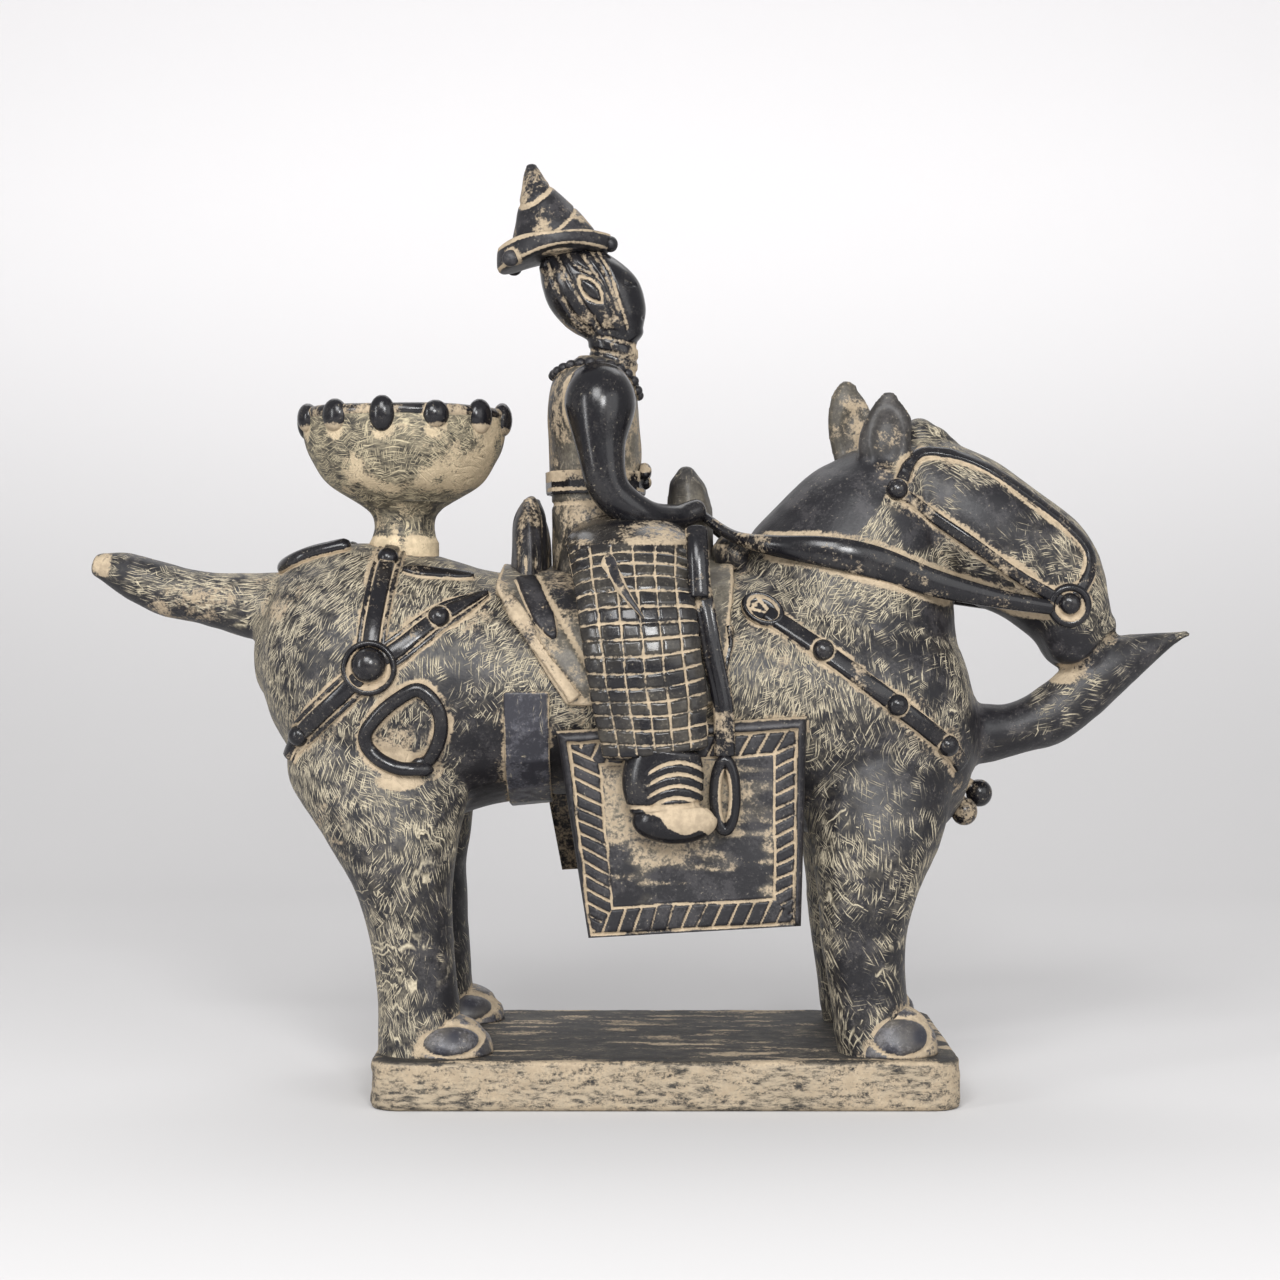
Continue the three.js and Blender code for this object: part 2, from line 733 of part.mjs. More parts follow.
function trouser(side, grow) {
  const half = TROUSER_THICKNESS / 2;
  const lap = CLOTH_FACE + half - TROUSER_BEDDING;
  const line = TROUSER_ROWS.map(([x, inset, z, reach]) => [x, side * (lap - inset), z, reach, half]);
  return roll(line, { steps: 1, sides: LIMB_SIDES, domes: [1, 2], grow, facing: [1, 0, 0] });
}

function boot(side, grow) {
  const half = BOOT_THICKNESS / 2;
  const y = side * (CLOTH_FACE + half - BOOT_BEDDING);
  const line = ANKLE_ROWS.map(([x, z, reach]) => [x, y, z, reach, half]);
  const ankle = roll(line, { steps: 1, sides: LIMB_SIDES, grow, facing: [1, 0, 0] });
  const [footX, footZ] = FOOT_MIDDLE;
  return join(ankle, ellipsoid([footX, y, footZ], [FOOT_LENGTH / 2, half + SEAM, FOOT_HEIGHT / 2], grow));
}

function arm(side, grow) {
  const shoulder = SHOULDER_SPREAD / 2;
  const line = ARM_ROWS.map(([x, out, z, half]) => [x, side * (shoulder + out), z, half, half]);
  return roll(line, { domes: [3, 2.5], grow });
}

function riderHead(grow) {
  const skull = loft(RIDER_HEAD_ROWS, RIDER_HEAD_WIDTH, { grow });
  return join(skull, loft(RIDER_NECK_ROWS, RIDER_HEAD_WIDTH, { grow }));
}

function hat() {
  const crown = loft(HAT_ROWS, HAT_WIDTH, { domes: [1, 1] });
  const half = BRIM_THICKNESS / 2;
  const flat = BRIM_RADIUS - half;
  const profile = [[0, -half], [flat, -half], [BRIM_RADIUS, 0], [flat, half], [0, half]];
  const [backX, backZ, frontX, frontZ] = HAT_ROWS[0];
  const brim = turned(profile, LIMB_SIDES).rotateX(Math.PI / 2).rotateY(-radians(BRIM_TILT));
  brim.translate((backX + frontX) / 2, 0, (backZ + frontZ) / 2 + BRIM_RISE);
  return join(crown, solidOf(brim));
}

// Bowl forms

const BOWL_FOOT = RUMP_TOP + STEM_HEIGHT + SEAM;
const BOWL_TOP = BOWL_FOOT + BOWL_HEIGHT;
const BOWL_FLOOR = BOWL_TOP - BOWL_DEPTH;
// Shares of the bowl's height and radius that its outside passes through, and of its depth and lip inside
const BOWL_SWELL = [[0.24, 0.74], [0.52, 0.91], [0.77, 0.985], [1, 1]];
const BOWL_HOLLOW = [[1, 1], [0.6, 0.95], [0.24, 0.78]];

function stem(grow) {
  const top = BOWL_FOOT - SEAM;
  const rest = RUMP_TOP - ROOT_DEPTH;
  const waist = STEM_RADIUS + grow;
  const foot = STEM_FOOT + grow;
  const profile = [[0, rest], [foot, rest], [foot, RUMP_TOP], [waist, RUMP_TOP + STEM_FOOT - STEM_RADIUS]];
  const collar = [[waist, top - STEM_FLARE], [waist + STEM_FLARE, top], [0, top]];
  return upright([...profile, ...collar], BOWL_X, HEAD_SIDES);
}

function bowl(grow) {
  const lip = BOWL_RADIUS - BOWL_WALL - grow;
  const outside = BOWL_SWELL.map(([rise, share]) => [
    BOWL_RADIUS * share + grow,
    BOWL_FOOT + BOWL_HEIGHT * rise,
  ]);
  const inside = BOWL_HOLLOW.map(([rise, share]) => [lip * share, BOWL_FLOOR + BOWL_DEPTH * rise]);
  outside[outside.length - 1][1] += grow;
  inside[0][1] += grow;
  const seat = [[0, BOWL_FOOT - grow], [BOWL_SEAT + grow, BOWL_FOOT - grow]];
  const floor = [[BOWL_FLOOR_RADIUS - grow, BOWL_FLOOR + grow], [0, BOWL_FLOOR + grow]];
  return upright([...seat, ...outside, ...inside, ...floor], BOWL_X, BOWL_SIDES);
}

function bowlRim() {
  const half = RIM_GAUGE / 2;
  const middle = BOWL_RADIUS - BOWL_WALL / 2;
  const section = [];
  for (let k = 0; k <= COIL_SIDES; k += 1) {
    const angle = (2 * Math.PI * k) / COIL_SIDES;
    section.push([middle + half * Math.cos(angle), BOWL_TOP + half / 2 + half * Math.sin(angle)]);
  }
  const pellets = [];
  for (let k = 0; k < PELLETS; k += 1) {
    const pellet = new THREE.SphereGeometry(1, COIL_SIDES, COIL_SIDES - 2);
    pellet.scale(PELLET_THICKNESS / 2, PELLET_WIDTH / 2, PELLET_HEIGHT / 2);
    pellet.translate(BOWL_RADIUS - PELLET_SETBACK, 0, BOWL_TOP + PELLET_RISE);
    pellet.rotateZ(radians(PELLET_TURN + (360 / PELLETS) * k));
    pellets.push(solidOf(pellet.translate(BOWL_X, 0, 0)));
  }
  return cut(join(upright(section, BOWL_X, BOWL_SIDES), ...pellets), bowl(SEAM));
}

// Scene graph: the base slab's top carries the horse, and the horse carries the rest

const figure = new THREE.Group();
const standing = new THREE.Group();
const horse = new THREE.Group();
const tack = new THREE.Group();
const rider = new THREE.Group();
const vessel = new THREE.Group();
standing.position.z = BASE_HEIGHT;
standing.add(horse, tack, rider, vessel);
figure.add(standing);

const CLAY = { color: 0x4a453c, roughness: 0.85 };
const BURNISHED = { color: 0x2a282b, roughness: 0.5 };
const SANDY = { color: 0xb09a74, roughness: 0.95 };
const BOWL_CLAY = { color: 0x9c8c68, roughness: 0.9 };

function add(group, name, finish, solid) {
  const material = new THREE.MeshStandardMaterial({ ...finish, metalness: 0 });
  const mesh = new THREE.Mesh(geometryOf(solid), material);
  mesh.name = name;
  group.add(mesh);
}

function addHorse() {
  const ground = block(-REACH, -REACH, REACH, SEAM);
  add(horse, "base_slab", SANDY, base());
  add(horse, "trunk", CLAY, trunk(0));
  add(horse, "neck", CLAY, cut(neck(0), trunk(SEAM)));
  add(horse, "head", CLAY, cut(head(0), neck(SEAM), trunk(SEAM)));
  add(horse, "tail", CLAY, cut(tail(0), trunk(SEAM)));
  add(horse, "chest_horn", CLAY, cut(horn(0), trunk(SEAM), neck(SEAM), head(SEAM)));
  add(horse, "forelock", CLAY, cut(forelock(0), head(SEAM), neck(SEAM), ear(-1, SEAM), ear(1, SEAM)));
  for (const [name, side] of SIDES) {
    const hind = (grow) => leg(HIND_LEG_ROWS, side, grow);
    const fore = (grow) => leg(FORE_LEG_ROWS, side, grow);
    const hindHoof = hoof(HIND_HOOF_X, HIND_HOOF_HEIGHT, side);
    const foreHoof = hoof(FORE_HOOF_X, FORE_HOOF_HEIGHT, side);
    add(horse, `ear_${name}`, CLAY, cut(ear(side, 0), head(SEAM), neck(SEAM)));
    add(horse, `hind_leg_${name}`, CLAY, cut(hind(0), trunk(SEAM), ground));
    add(horse, `fore_leg_${name}`, CLAY, cut(fore(0), trunk(SEAM), neck(SEAM), ground));
    add(horse, `hind_hoof_${name}`, BURNISHED, cut(hindHoof, hind(SEAM), ground));
    add(horse, `fore_hoof_${name}`, BURNISHED, cut(foreHoof, fore(SEAM), ground));
  }
}

// Straps with their studs over the rump and the breast
function addStraps(name, side) {
  const body = (grow) => flesh(side, grow);
  const bare = body(0);
  const seam = body(SEAM);
  const padClear = plank(widened(PAD_OUTLINE, SEAM), -REACH, REACH);
  const stud = (place) => boss(studProfile(STUD_RADIUS, STRAP_THICKNESS + STUD_HEIGHT), place, side, bare);
  const strap = (line, ...studs) => {
    const band = pressed(sideBand(line, STRAP_WIDTH, side, STRAP_PARTING), body, STRAP_THICKNESS);
    return join(band, ...studs.map((place) => cut(stud(place), seam)));
  };
  const half = STRAP_PARTING / 2;

  const rosette = platedProfile(ROSETTE_RADIUS, STRAP_THICKNESS, ROSETTE_BALL, ROSETTE_BALL);
  const rosetteClear = boss(studProfile(ROSETTE_RADIUS + SEAM, TRUNK_WIDTH), ROSETTE, side, bare, LIMB_SIDES);
  add(tack, `rosette_${name}`, BURNISHED, cut(boss(rosette, ROSETTE, side, bare, LIMB_SIDES), seam));
  add(tack, `hip_strap_${name}`, BURNISHED, cut(strap(HIP_STRAP_LINE, HIP_STUD), rosetteClear, stem(SEAM)));
  add(tack, `side_strap_${name}`, BURNISHED, cut(strap(SIDE_STRAP_LINE, SIDE_STUD), rosetteClear, padClear));
  add(tack, `breech_strap_${name}`, BURNISHED, cut(strap(BREECH_STRAP_LINE, BREECH_STUD), rosetteClear));

  const middle = [ROSETTE_X + RING_LEAD, ROSETTE_Z - RING_DROP];
  const outer = oval(middle, RING_LENGTH, RING_HEIGHT, radians(RING_TILT));
  const inner = oval(middle, RING_LENGTH - 2 * RING_BAND, RING_HEIGHT - 2 * RING_BAND, radians(RING_TILT));
  const ring = pressed(plank(outer, ...sideSpan(side, half), inner), body, STRAP_THICKNESS);
  add(tack, `hip_ring_${name}`, BURNISHED, cut(ring, rosetteClear));

  const plate = plank(oval(BUCKLE, BUCKLE_LENGTH, BUCKLE_HEIGHT), ...sideSpan(side, half));
  const buckle = pressed(plate, body, STRAP_THICKNESS + BUCKLE_RELIEF);
  const breast = join(strap(BREAST_STRAP_LINE, ...BREAST_STUDS), buckle);
  add(tack, `breast_strap_${name}`, BURNISHED, cut(breast, horn(SEAM), padClear));
}

function addBell(name, [x, y, z]) {
  const ball = ellipsoid([x, y, z], [BELL_RADIUS, BELL_RADIUS, BELL_RADIUS]);
  const half = BELL_SHANK / 2;
  const shank = roll([[x - 2 * BELL_RADIUS, y, z + BELL_RADIUS, half, half], [x, y, z, half, half]], {});
  add(tack, `bell_${name}`, BURNISHED, cut(join(ball, shank), flesh(-1, SEAM), flesh(1, SEAM), horn(SEAM)));
}

// Loop that lies over the root of the tail
function addCrupper() {
  const line = CRUPPER_ROWS.map(([x, share]) => [x, (share * CRUPPER_SPREAD) / 2]);
  const shape = new THREE.Shape(bandOutline(line, CRUPPER_GAUGE).map(([x, y]) => new THREE.Vector2(x, y)));
  const blank = new THREE.ExtrudeGeometry(shape, { depth: REACH, bevelEnabled: false });
  const [, tailTop, , tailFoot] = TAIL_ROWS[TAIL_ROWS.length - 1];
  blank.translate(0, 0, (tailTop + tailFoot) / 2);
  add(tack, "crupper_loop", BURNISHED, pressed(solidOf(blank), rump, STRAP_THICKNESS));
}

function addSaddle() {
  const pad = pressed(plank(PAD_OUTLINE, -REACH, REACH), trunk, PAD_THICKNESS);
  const post = cut(pommel(0), trunk(SEAM));
  add(tack, "saddle_pad", CLAY, cut(join(pad, post), neck(SEAM)));
  const cantle = loft(CANTLE_ROWS, CANTLE_WIDTH, { domes: [1, 1.5] });
  add(tack, "cantle", CLAY, cut(cantle, padTop(SEAM), torso(SEAM), trouser(-1, SEAM), trouser(1, SEAM)));
  const girthFront = CLOTH_OUTLINE[0][0] - GIRTH_GAP;
  const girth = pressed(block(girthFront - GIRTH_WIDTH, 0, girthFront, GIRTH_TOP), trunk, GIRTH_THICKNESS);
  const padClear = plank(widened(PAD_OUTLINE, SEAM), -REACH, REACH);
  add(tack, "girth", BURNISHED, cut(girth, cloth(-1, SEAM), cloth(1, SEAM), padClear));
  for (const [name, side] of SIDES) {
    add(tack, `saddle_cloth_${name}`, CLAY, cut(cloth(side, 0), trunk(SEAM)));
    add(tack, `stirrup_${name}`, BURNISHED, cut(stirrup(side, 0), boot(side, SEAM), trouser(side, SEAM)));
    const neighbours = [padTop(SEAM), trouser(side, SEAM), cloth(side, SEAM), stirrup(side, SEAM)];
    add(tack, `stirrup_strap_${name}`, BURNISHED, cut(stirrupStrap(side), ...neighbours));
  }
}

function addBridle(name, side) {
  const onHead = (profile, place) => boss(profile, place, side, headAndNeck(0), LIMB_SIDES);
  const bit = onHead(platedProfile(BIT_RADIUS, BRIDLE_THICKNESS, BIT_BALL, STUD_HEIGHT), BIT);
  const bitClear = onHead(studProfile(BIT_RADIUS + SEAM, HEAD_WIDTH), BIT);
  add(tack, `bit_ring_${name}`, BURNISHED, cut(bit, head(SEAM), horn(SEAM)));

  const band = (line, width) => sideBand(line, width, side, BRIDLE_PARTING);
  const straps = join(band(CHEEK_STRAP_LINE, BRIDLE_WIDTH), band(FACE_STRAP_LINE, BRIDLE_WIDTH));
  const temple = onHead(studProfile(STUD_RADIUS, BRIDLE_THICKNESS + STUD_HEIGHT), TEMPLE);
  const bridle = join(pressed(straps, headAndNeck, BRIDLE_THICKNESS), cut(temple, headAndNeck(SEAM)));
  const crest = [ear(-1, SEAM), ear(1, SEAM), forelock(SEAM)];
  add(tack, `bridle_strap_${name}`, BURNISHED, cut(bridle, bitClear, ...crest));

  const half = REIN_THICKNESS / 2;
  const along = (width) => ([x, share, z, height]) => [x, (side * share * width) / 2, z, half, height];
  const line = [...REIN_NECK_ROWS.map(along(NECK_WIDTH)), ...REIN_HEAD_ROWS.map(along(HEAD_WIDTH))];
  const cheekBand = band(CHEEK_STRAP_LINE, BRIDLE_WIDTH + 2 * SEAM);
  const cheekClear = cheekBand.intersect(headAndNeck(2 * SEAM + BRIDLE_THICKNESS));
  const hand = [pommel(SEAM), arm(side, SEAM), padTop(SEAM)];
  const rein = cut(roll(line, { steps: 1 }), ...hand, neck(SEAM), head(SEAM), bitClear, cheekClear);
  add(tack, `rein_${name}`, BURNISHED, rein);
}

function addRider() {
  const arms = [arm(-1, SEAM), arm(1, SEAM)];
  const belt = TORSO_ROWS[1][1] + BELT_RISE - BELT_HEIGHT;
  add(rider, "rider_torso", CLAY, cut(torso(0), padTop(SEAM)));
  const beltBlank = block(-REACH, belt, REACH, belt + BELT_HEIGHT);
  add(rider, "rider_belt", BURNISHED, cut(pressed(beltBlank, torso, BELT_THICKNESS), ...arms));
  for (const [name, side] of SIDES) {
    const legClear = trouser(side, SEAM);
    const clothClear = cloth(side, SEAM);
    const lap = cut(trouser(side, 0), padTop(SEAM), torso(SEAM), clothClear, pommel(SEAM));
    add(rider, `trouser_${name}`, CLAY, lap);
    add(rider, `rider_arm_${name}`, BURNISHED, cut(arm(side, 0), torso(SEAM), pommel(SEAM), legClear));
    add(rider, `boot_${name}`, BURNISHED, cut(boot(side, 0), legClear, clothClear, trunk(SEAM)));
  }
  add(rider, "rider_head", CLAY, cut(riderHead(0), torso(SEAM)));
  add(rider, "hat", CLAY, cut(hat(), riderHead(SEAM)));
}

addHorse();
addCrupper();
for (const [name, side] of SIDES) {
  addStraps(name, side);
  addBridle(name, side);
}
addBell("right", BELLS[0]);
addBell("left", BELLS[1]);
addSaddle();
addRider();
add(vessel, "bowl_stem", BOWL_CLAY, cut(stem(0), trunk(SEAM)));
add(vessel, "bowl", BOWL_CLAY, bowl(0));
add(vessel, "bowl_rim", BURNISHED, bowlRim());

export default figure;
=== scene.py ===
"""Clay horse with its rider, harness and bowl: the looks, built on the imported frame.

Lengths are millimetres until a mesh is made. The horse's own heights count from the top of the base slab.
"""
import itertools
import math

import bpy
import numpy as np
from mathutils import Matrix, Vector
from mathutils.bvhtree import BVHTree
from mathutils.kdtree import KDTree

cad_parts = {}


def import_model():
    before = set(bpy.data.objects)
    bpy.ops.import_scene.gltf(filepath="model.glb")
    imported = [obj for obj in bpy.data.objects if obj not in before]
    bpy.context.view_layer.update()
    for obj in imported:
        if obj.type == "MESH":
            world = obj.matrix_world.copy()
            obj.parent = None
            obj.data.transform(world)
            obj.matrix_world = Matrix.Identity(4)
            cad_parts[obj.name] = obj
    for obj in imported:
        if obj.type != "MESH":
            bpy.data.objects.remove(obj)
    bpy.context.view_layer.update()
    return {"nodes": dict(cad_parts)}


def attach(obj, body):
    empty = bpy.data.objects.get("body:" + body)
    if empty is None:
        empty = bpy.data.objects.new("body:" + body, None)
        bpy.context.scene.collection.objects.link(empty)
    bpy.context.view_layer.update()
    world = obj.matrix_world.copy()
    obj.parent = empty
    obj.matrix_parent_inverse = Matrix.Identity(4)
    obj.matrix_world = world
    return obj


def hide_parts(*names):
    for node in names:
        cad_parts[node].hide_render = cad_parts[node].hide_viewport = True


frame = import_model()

MM = 0.001
BASE_TOP = 14.0
SIDES = {-1: "right", 1: "left"}
UP = np.array((0, 0, 1.0))
DOWN = (0, 0, -1)
ABOVE = 300
BESIDE = 200
TURN = 2 * math.pi

# Outlines in the side view: x and z of one point, x and z of the point facing it, share of the width,
# and for the legs the share of the way to the side
TRUNK = [
    (-119.5, 127, -119.5, 102, 0.4), (-114, 138, -114, 89, 0.66), (-104, 144.5, -104, 74, 0.86),
    (-90, 147, -90, 64, 0.97), (-70, 143.5, -70, 64, 1), (-46, 138, -46, 70.5, 1), (-18, 136.5, -18, 73, 1),
    (12, 138.5, 12, 70, 1), (36, 142, 36, 63, 0.99), (58, 140, 58, 57, 0.94), (76, 132, 76, 58, 0.82),
    (87, 118, 87, 67, 0.6), (92, 102, 92, 78, 0.34),
]
NECK = [
    (18, 128, 84, 82, 0.9), (24, 147, 88.5, 104, 0.9), (33, 158, 87, 124, 0.8), (43, 167.5, 86, 139, 0.7),
    (54, 174, 85, 154, 0.56),
]
HEAD = [
    (63, 174.5, 59, 158, 0.5), (80, 178.5, 69, 145, 0.84), (97, 173, 84, 133, 1),
    (112, 162.5, 100, 126, 0.92), (124.5, 152.5, 110.5, 119, 0.8), (131, 141, 115, 112.5, 0.7),
    (134.5, 126, 121, 108.5, 0.5),
]
TAIL = [
    (-169, 144.4, -171, 137, 0.34), (-160.5, 144.6, -161.5, 130.6, 0.66), (-150, 141.4, -150.5, 125.6, 0.76),
    (-138, 138.6, -138.5, 123.2, 0.82), (-126, 138.2, -126, 119.2, 0.94), (-111, 138.6, -112, 115, 1.1),
]
HORN = [
    (84, 99, 86, 80, 1.1), (92, 99.2, 97, 81, 1), (103, 99, 108, 84.2, 0.86), (114, 104.6, 119.5, 88.4, 0.8),
    (124, 113, 129, 95.2, 0.8), (135, 119.2, 138, 103.6, 0.7), (147, 120.6, 148.5, 113.2, 0.36),
    (155, 121, 155.5, 118.4, 0.16),
]
RIGHT_EAR = [
    (58, 165, 72, 164, 0.8), (57, 177, 73, 178, 1), (60, 185.5, 72.4, 184, 0.8),
    (63.5, 190.2, 69, 189.4, 0.4),
]
LEFT_EAR = [
    (53, 167, 67, 166, 0.8), (50, 182, 65, 182, 1), (50.8, 191, 62.5, 189.5, 0.8),
    (53, 195.4, 59, 194.4, 0.4),
]
FORELOCK = [
    (71, 181, 70, 171, 0.5), (76, 184.8, 74, 171, 0.75), (83, 182.2, 80, 170, 0.7),
    (89, 176.6, 85, 168, 0.45),
]
HIND_LEG = [
    (-60, 92, -110, 92, 1.6, 0.6), (-57, 78, -109.5, 78, 1.62, 0.72), (-59.5, 62, -99, 62, 1.38, 0.9),
    (-61.5, 46, -89.5, 46, 1.12, 1), (-61, 30, -85, 30, 1, 1), (-60, 13, -82.7, 13, 0.98, 1),
    (-58, -3, -83, -3, 1.08, 1),
]
FORE_LEG = [
    (80, 88, 40, 88, 1.6, 0.6), (83.5, 74, 40, 74, 1.6, 0.72), (79.5, 59, 42, 59, 1.4, 0.9),
    (72.5, 45, 44.5, 45, 1.12, 1), (69, 32, 45.5, 32, 1, 1), (69.5, 14, 48, 14, 0.97, 1),
    (72, -3, 50, -3, 1.05, 1),
]
TORSO = [
    (-34, 136, -6, 136, 0.9), (-33.5, 149, -6.5, 149, 0.86), (-34, 162, -7, 162, 0.76),
    (-34.5, 176, -7, 176, 0.86), (-35, 189, -8, 189, 1), (-32.5, 198, -9, 196, 0.86),
    (-26, 203, -12, 200.5, 0.5),
]
RIDER_NECK = [(-22, 192, -9, 192, 0.6), (-22.5, 204, -7.8, 203, 0.62), (-24, 214, -9, 212, 0.66)]
RIDER_HEAD = [
    (-37.5, 229, -27, 238, 0.7), (-35.5, 220, -17, 234, 1), (-30, 212.5, -8.5, 227, 0.96),
    (-21.5, 207.5, -5.6, 218.5, 0.74), (-14, 205.6, -6.4, 211.4, 0.5),
]
HAT = [
    (-46, 232, -20, 235, 1), (-45.5, 239, -21, 241, 0.96), (-43.8, 247, -27, 248, 0.7),
    (-42.6, 255, -35, 255.5, 0.36), (-41.4, 260, -38.2, 260.2, 0.16),
]
CANTLE = [
    (-46, 134, -34, 134, 1), (-45.5, 146, -34.2, 146, 0.94), (-45, 154, -35.4, 154, 0.76),
    (-42.4, 159.6, -37.4, 159.6, 0.42),
]


def sided(name, side):
    """The name of a piece that each side of the horse has."""
    return f"{name}_{SIDES[side]}"


# Numbers

def noise(points, size, seed):
    """Smooth noise from -1 to 1 with features of about the given size."""
    scaled = np.asarray(points, float) / size
    cell = np.floor(scaled).astype(np.int64)
    part = scaled - cell
    part = part * part * (3 - 2 * part)
    total = np.zeros(len(scaled))
    for corner in itertools.product((0, 1), repeat=3):
        at = cell + np.array(corner)
        code = (at[:, 0] * 73856093) ^ (at[:, 1] * 19349663) ^ (at[:, 2] * 83492791) ^ (seed * 374761393)
        code = ((code ^ (code >> 13)) * 1274126177) & 0xFFFFFFFF
        value = ((code ^ (code >> 16)) & 0xFFFF) / 65535.0
        weight = np.prod(np.where(corner, part, 1 - part), axis=1)
        total += weight * value
    return total * 2 - 1


def layered(points, level, *layers):
    """A level with layers of noise on it, each an amount, a feature size and a seed."""
    total = level
    for amount, size, seed in layers:
        total = total + amount * noise(points, size, seed)
    return total


def patches(points, top, level, *layers):
    """Uneven patches: layered noise kept from 0 to a top value."""
    return np.clip(layered(points, level, *layers), 0, top)


def step(value, low, high):
    """0 below low, 1 above high and smooth between; low may be the larger one."""
    t = np.clip((np.asarray(value, float) - low) / (high - low), 0, 1)
    return t * t * (3 - 2 * t)


def most(*values):
    """The largest of several values at each point."""
    return np.maximum.reduce(values)


def least(*values):
    """The smallest of several values at each point."""
    return np.minimum.reduce(values)


def spline(rows, steps):
    """Points on a smooth line through the rows."""
    rows = np.asarray(rows, float)
    padded = np.vstack([2 * rows[0] - rows[1], rows, 2 * rows[-1] - rows[-2]])
    t = (np.arange(steps) / steps)[:, None]
    out = []
    for k in range(len(rows) - 1):
        a, b, c, d = padded[k:k + 4]
        square = (2 * a - 5 * b + 4 * c - d) * t ** 2
        cube = (3 * b - a - 3 * c + d) * t ** 3
        out.append(0.5 * (2 * b + (c - a) * t + square + cube))
    out.append(rows[-1:])
    return np.vstack(out)


def unit(vectors):
    return vectors / np.maximum(np.linalg.norm(vectors, axis=-1, keepdims=True), 1e-9)


def dots(one, two):
    """The dot product of each pair of vectors."""
    return np.einsum("ij,ij->i", one, two)


def run_along(line):
    """The length of a polyline up to each of its points."""
    return np.concatenate([[0], np.cumsum(np.linalg.norm(np.diff(line, axis=0), axis=1))])


def line_distance(points, line):
    """Distance from 2-D points to a polyline, and the length along it of the nearest place."""
    points = np.asarray(points, float)
    line = np.asarray(line, float)
    best = np.full(len(points), 1e9)
    along = np.zeros(len(points))
    run = 0.0
    for a, b in zip(line[:-1], line[1:]):
        edge = b - a
        size = np.linalg.norm(edge)
        t = np.clip(((points - a) @ edge) / max(size * size, 1e-9), 0, 1)
        gap = np.linalg.norm(points - a - t[:, None] * edge, axis=1)
        nearer = gap < best
        best[nearer] = gap[nearer]
        along[nearer] = run + t[nearer] * size
        run += size
    return best, along


def cut_lines(points, lines, low, high):
    """1 on any of several polylines, 0 where the distance to all of them is more than low."""
    return most(*(step(line_distance(points, line)[0], low, high) for line in lines))


def side_view(points):
    """The x and the height above the base slab of every point."""
    return points[:, [0, 2]] - (0, BASE_TOP)


def moved_along(points, directions, amounts):
    return points + directions * amounts[:, None]


def point_gaps(points, others):
    """The distance from each point to the nearest of some other points."""
    tree = KDTree(len(others))
    for k, point in enumerate(others):
        tree.insert(Vector(point), k)
    tree.balance()
    return np.array([tree.find(Vector(point))[2] for point in points])


# Forms: each is an array of points and a list of faces

def skin(rings, closed=False):
    """A closed surface over rings of equal count, with a fan at each end unless the rings form a loop."""
    count = len(rings[0])
    points = np.vstack(rings)
    faces = []
    total = len(rings)
    for ring in range(total if closed else total - 1):
        low = ring * count
        high = ((ring + 1) % total) * count
        for k in range(count):
            step_on = (k + 1) % count
            faces.append((low + k, low + step_on, high + step_on, high + k))
    if not closed:
        last = (total - 1) * count
        points = np.vstack([points, points[:count].mean(0), points[last:last + count].mean(0)])
        for k in range(count):
            step_on = (k + 1) % count
            faces.append((total * count, step_on, k))
            faces.append((total * count + 1, last + k, last + step_on))
    return points, faces


def grid_faces(rows, columns):
    """Quads over a grid of points stored row after row."""
    return [(a, a + 1, a + columns + 1, a + columns)
            for row in range(rows - 1) for a in range(row * columns, (row + 1) * columns - 1)]


def ring_at(centre, across, along, sides):
    angle = np.arange(sides) * TURN / sides
    return centre + np.cos(angle)[:, None] * across + np.sin(angle)[:, None] * along


DOME_TURNS = np.radians([12, 26, 40, 54, 68, 80, 87])


def limb(centres, across, along, sides, domes):
    """An oval limb with a round dome at both ends."""
    rings = [ring_at(c, a, b, sides) for c, a, b in zip(centres, across, along)]

    def dome(k, other, length):
        axis = unit(np.cross(across[k], along[k]))
        if axis @ (centres[k] - centres[other]) < 0:
            axis = -axis
        return [ring_at(centres[k] + axis * length * math.sin(t), across[k] * math.cos(t),
                        along[k] * math.cos(t), sides) for t in DOME_TURNS]

    return skin(dome(0, 1, domes[0])[::-1] + rings + dome(-1, -2, domes[1]))


def loft(rows, width, sides=48, steps=6, domes=(2, 2), middle=0.0):
    """A limb through an outline's rows; middle is its distance from the middle plane."""
    rows = np.array([row if len(row) > 5 else (*row, 1) for row in rows], float)
    smooth = spline(rows, steps)
    one = np.column_stack([smooth[:, 0], np.zeros(len(smooth)), smooth[:, 1] + BASE_TOP])
    two = np.column_stack([smooth[:, 2], np.zeros(len(smooth)), smooth[:, 3] + BASE_TOP])
    centres = (one + two) / 2
    centres[:, 1] = middle * smooth[:, 5]
    along = (one - two) / 2
    across = np.zeros_like(along)
    across[:, 1] = width / 2 * smooth[:, 4]
    return limb(centres, across, along, sides, domes)


def roll(rows, sides, steps, domes=(1, 1), facing=(0, 1, 0)):
    """A rolled limb: rows are x, y, z, half-size across and half-size along; z from the base slab's top."""
    rows = np.array(rows, float)
    rows[:, 2] += BASE_TOP
    smooth = spline(rows, steps)
    centres = smooth[:, :3]
    tangent = unit(np.gradient(centres, axis=0))
    across = np.array(facing, float) - (tangent @ np.array(facing, float))[:, None] * tangent
    across = unit(across)
    along = unit(np.cross(tangent, across))
    return limb(centres, across * smooth[:, 3:4], along * smooth[:, 4:5], sides, domes)


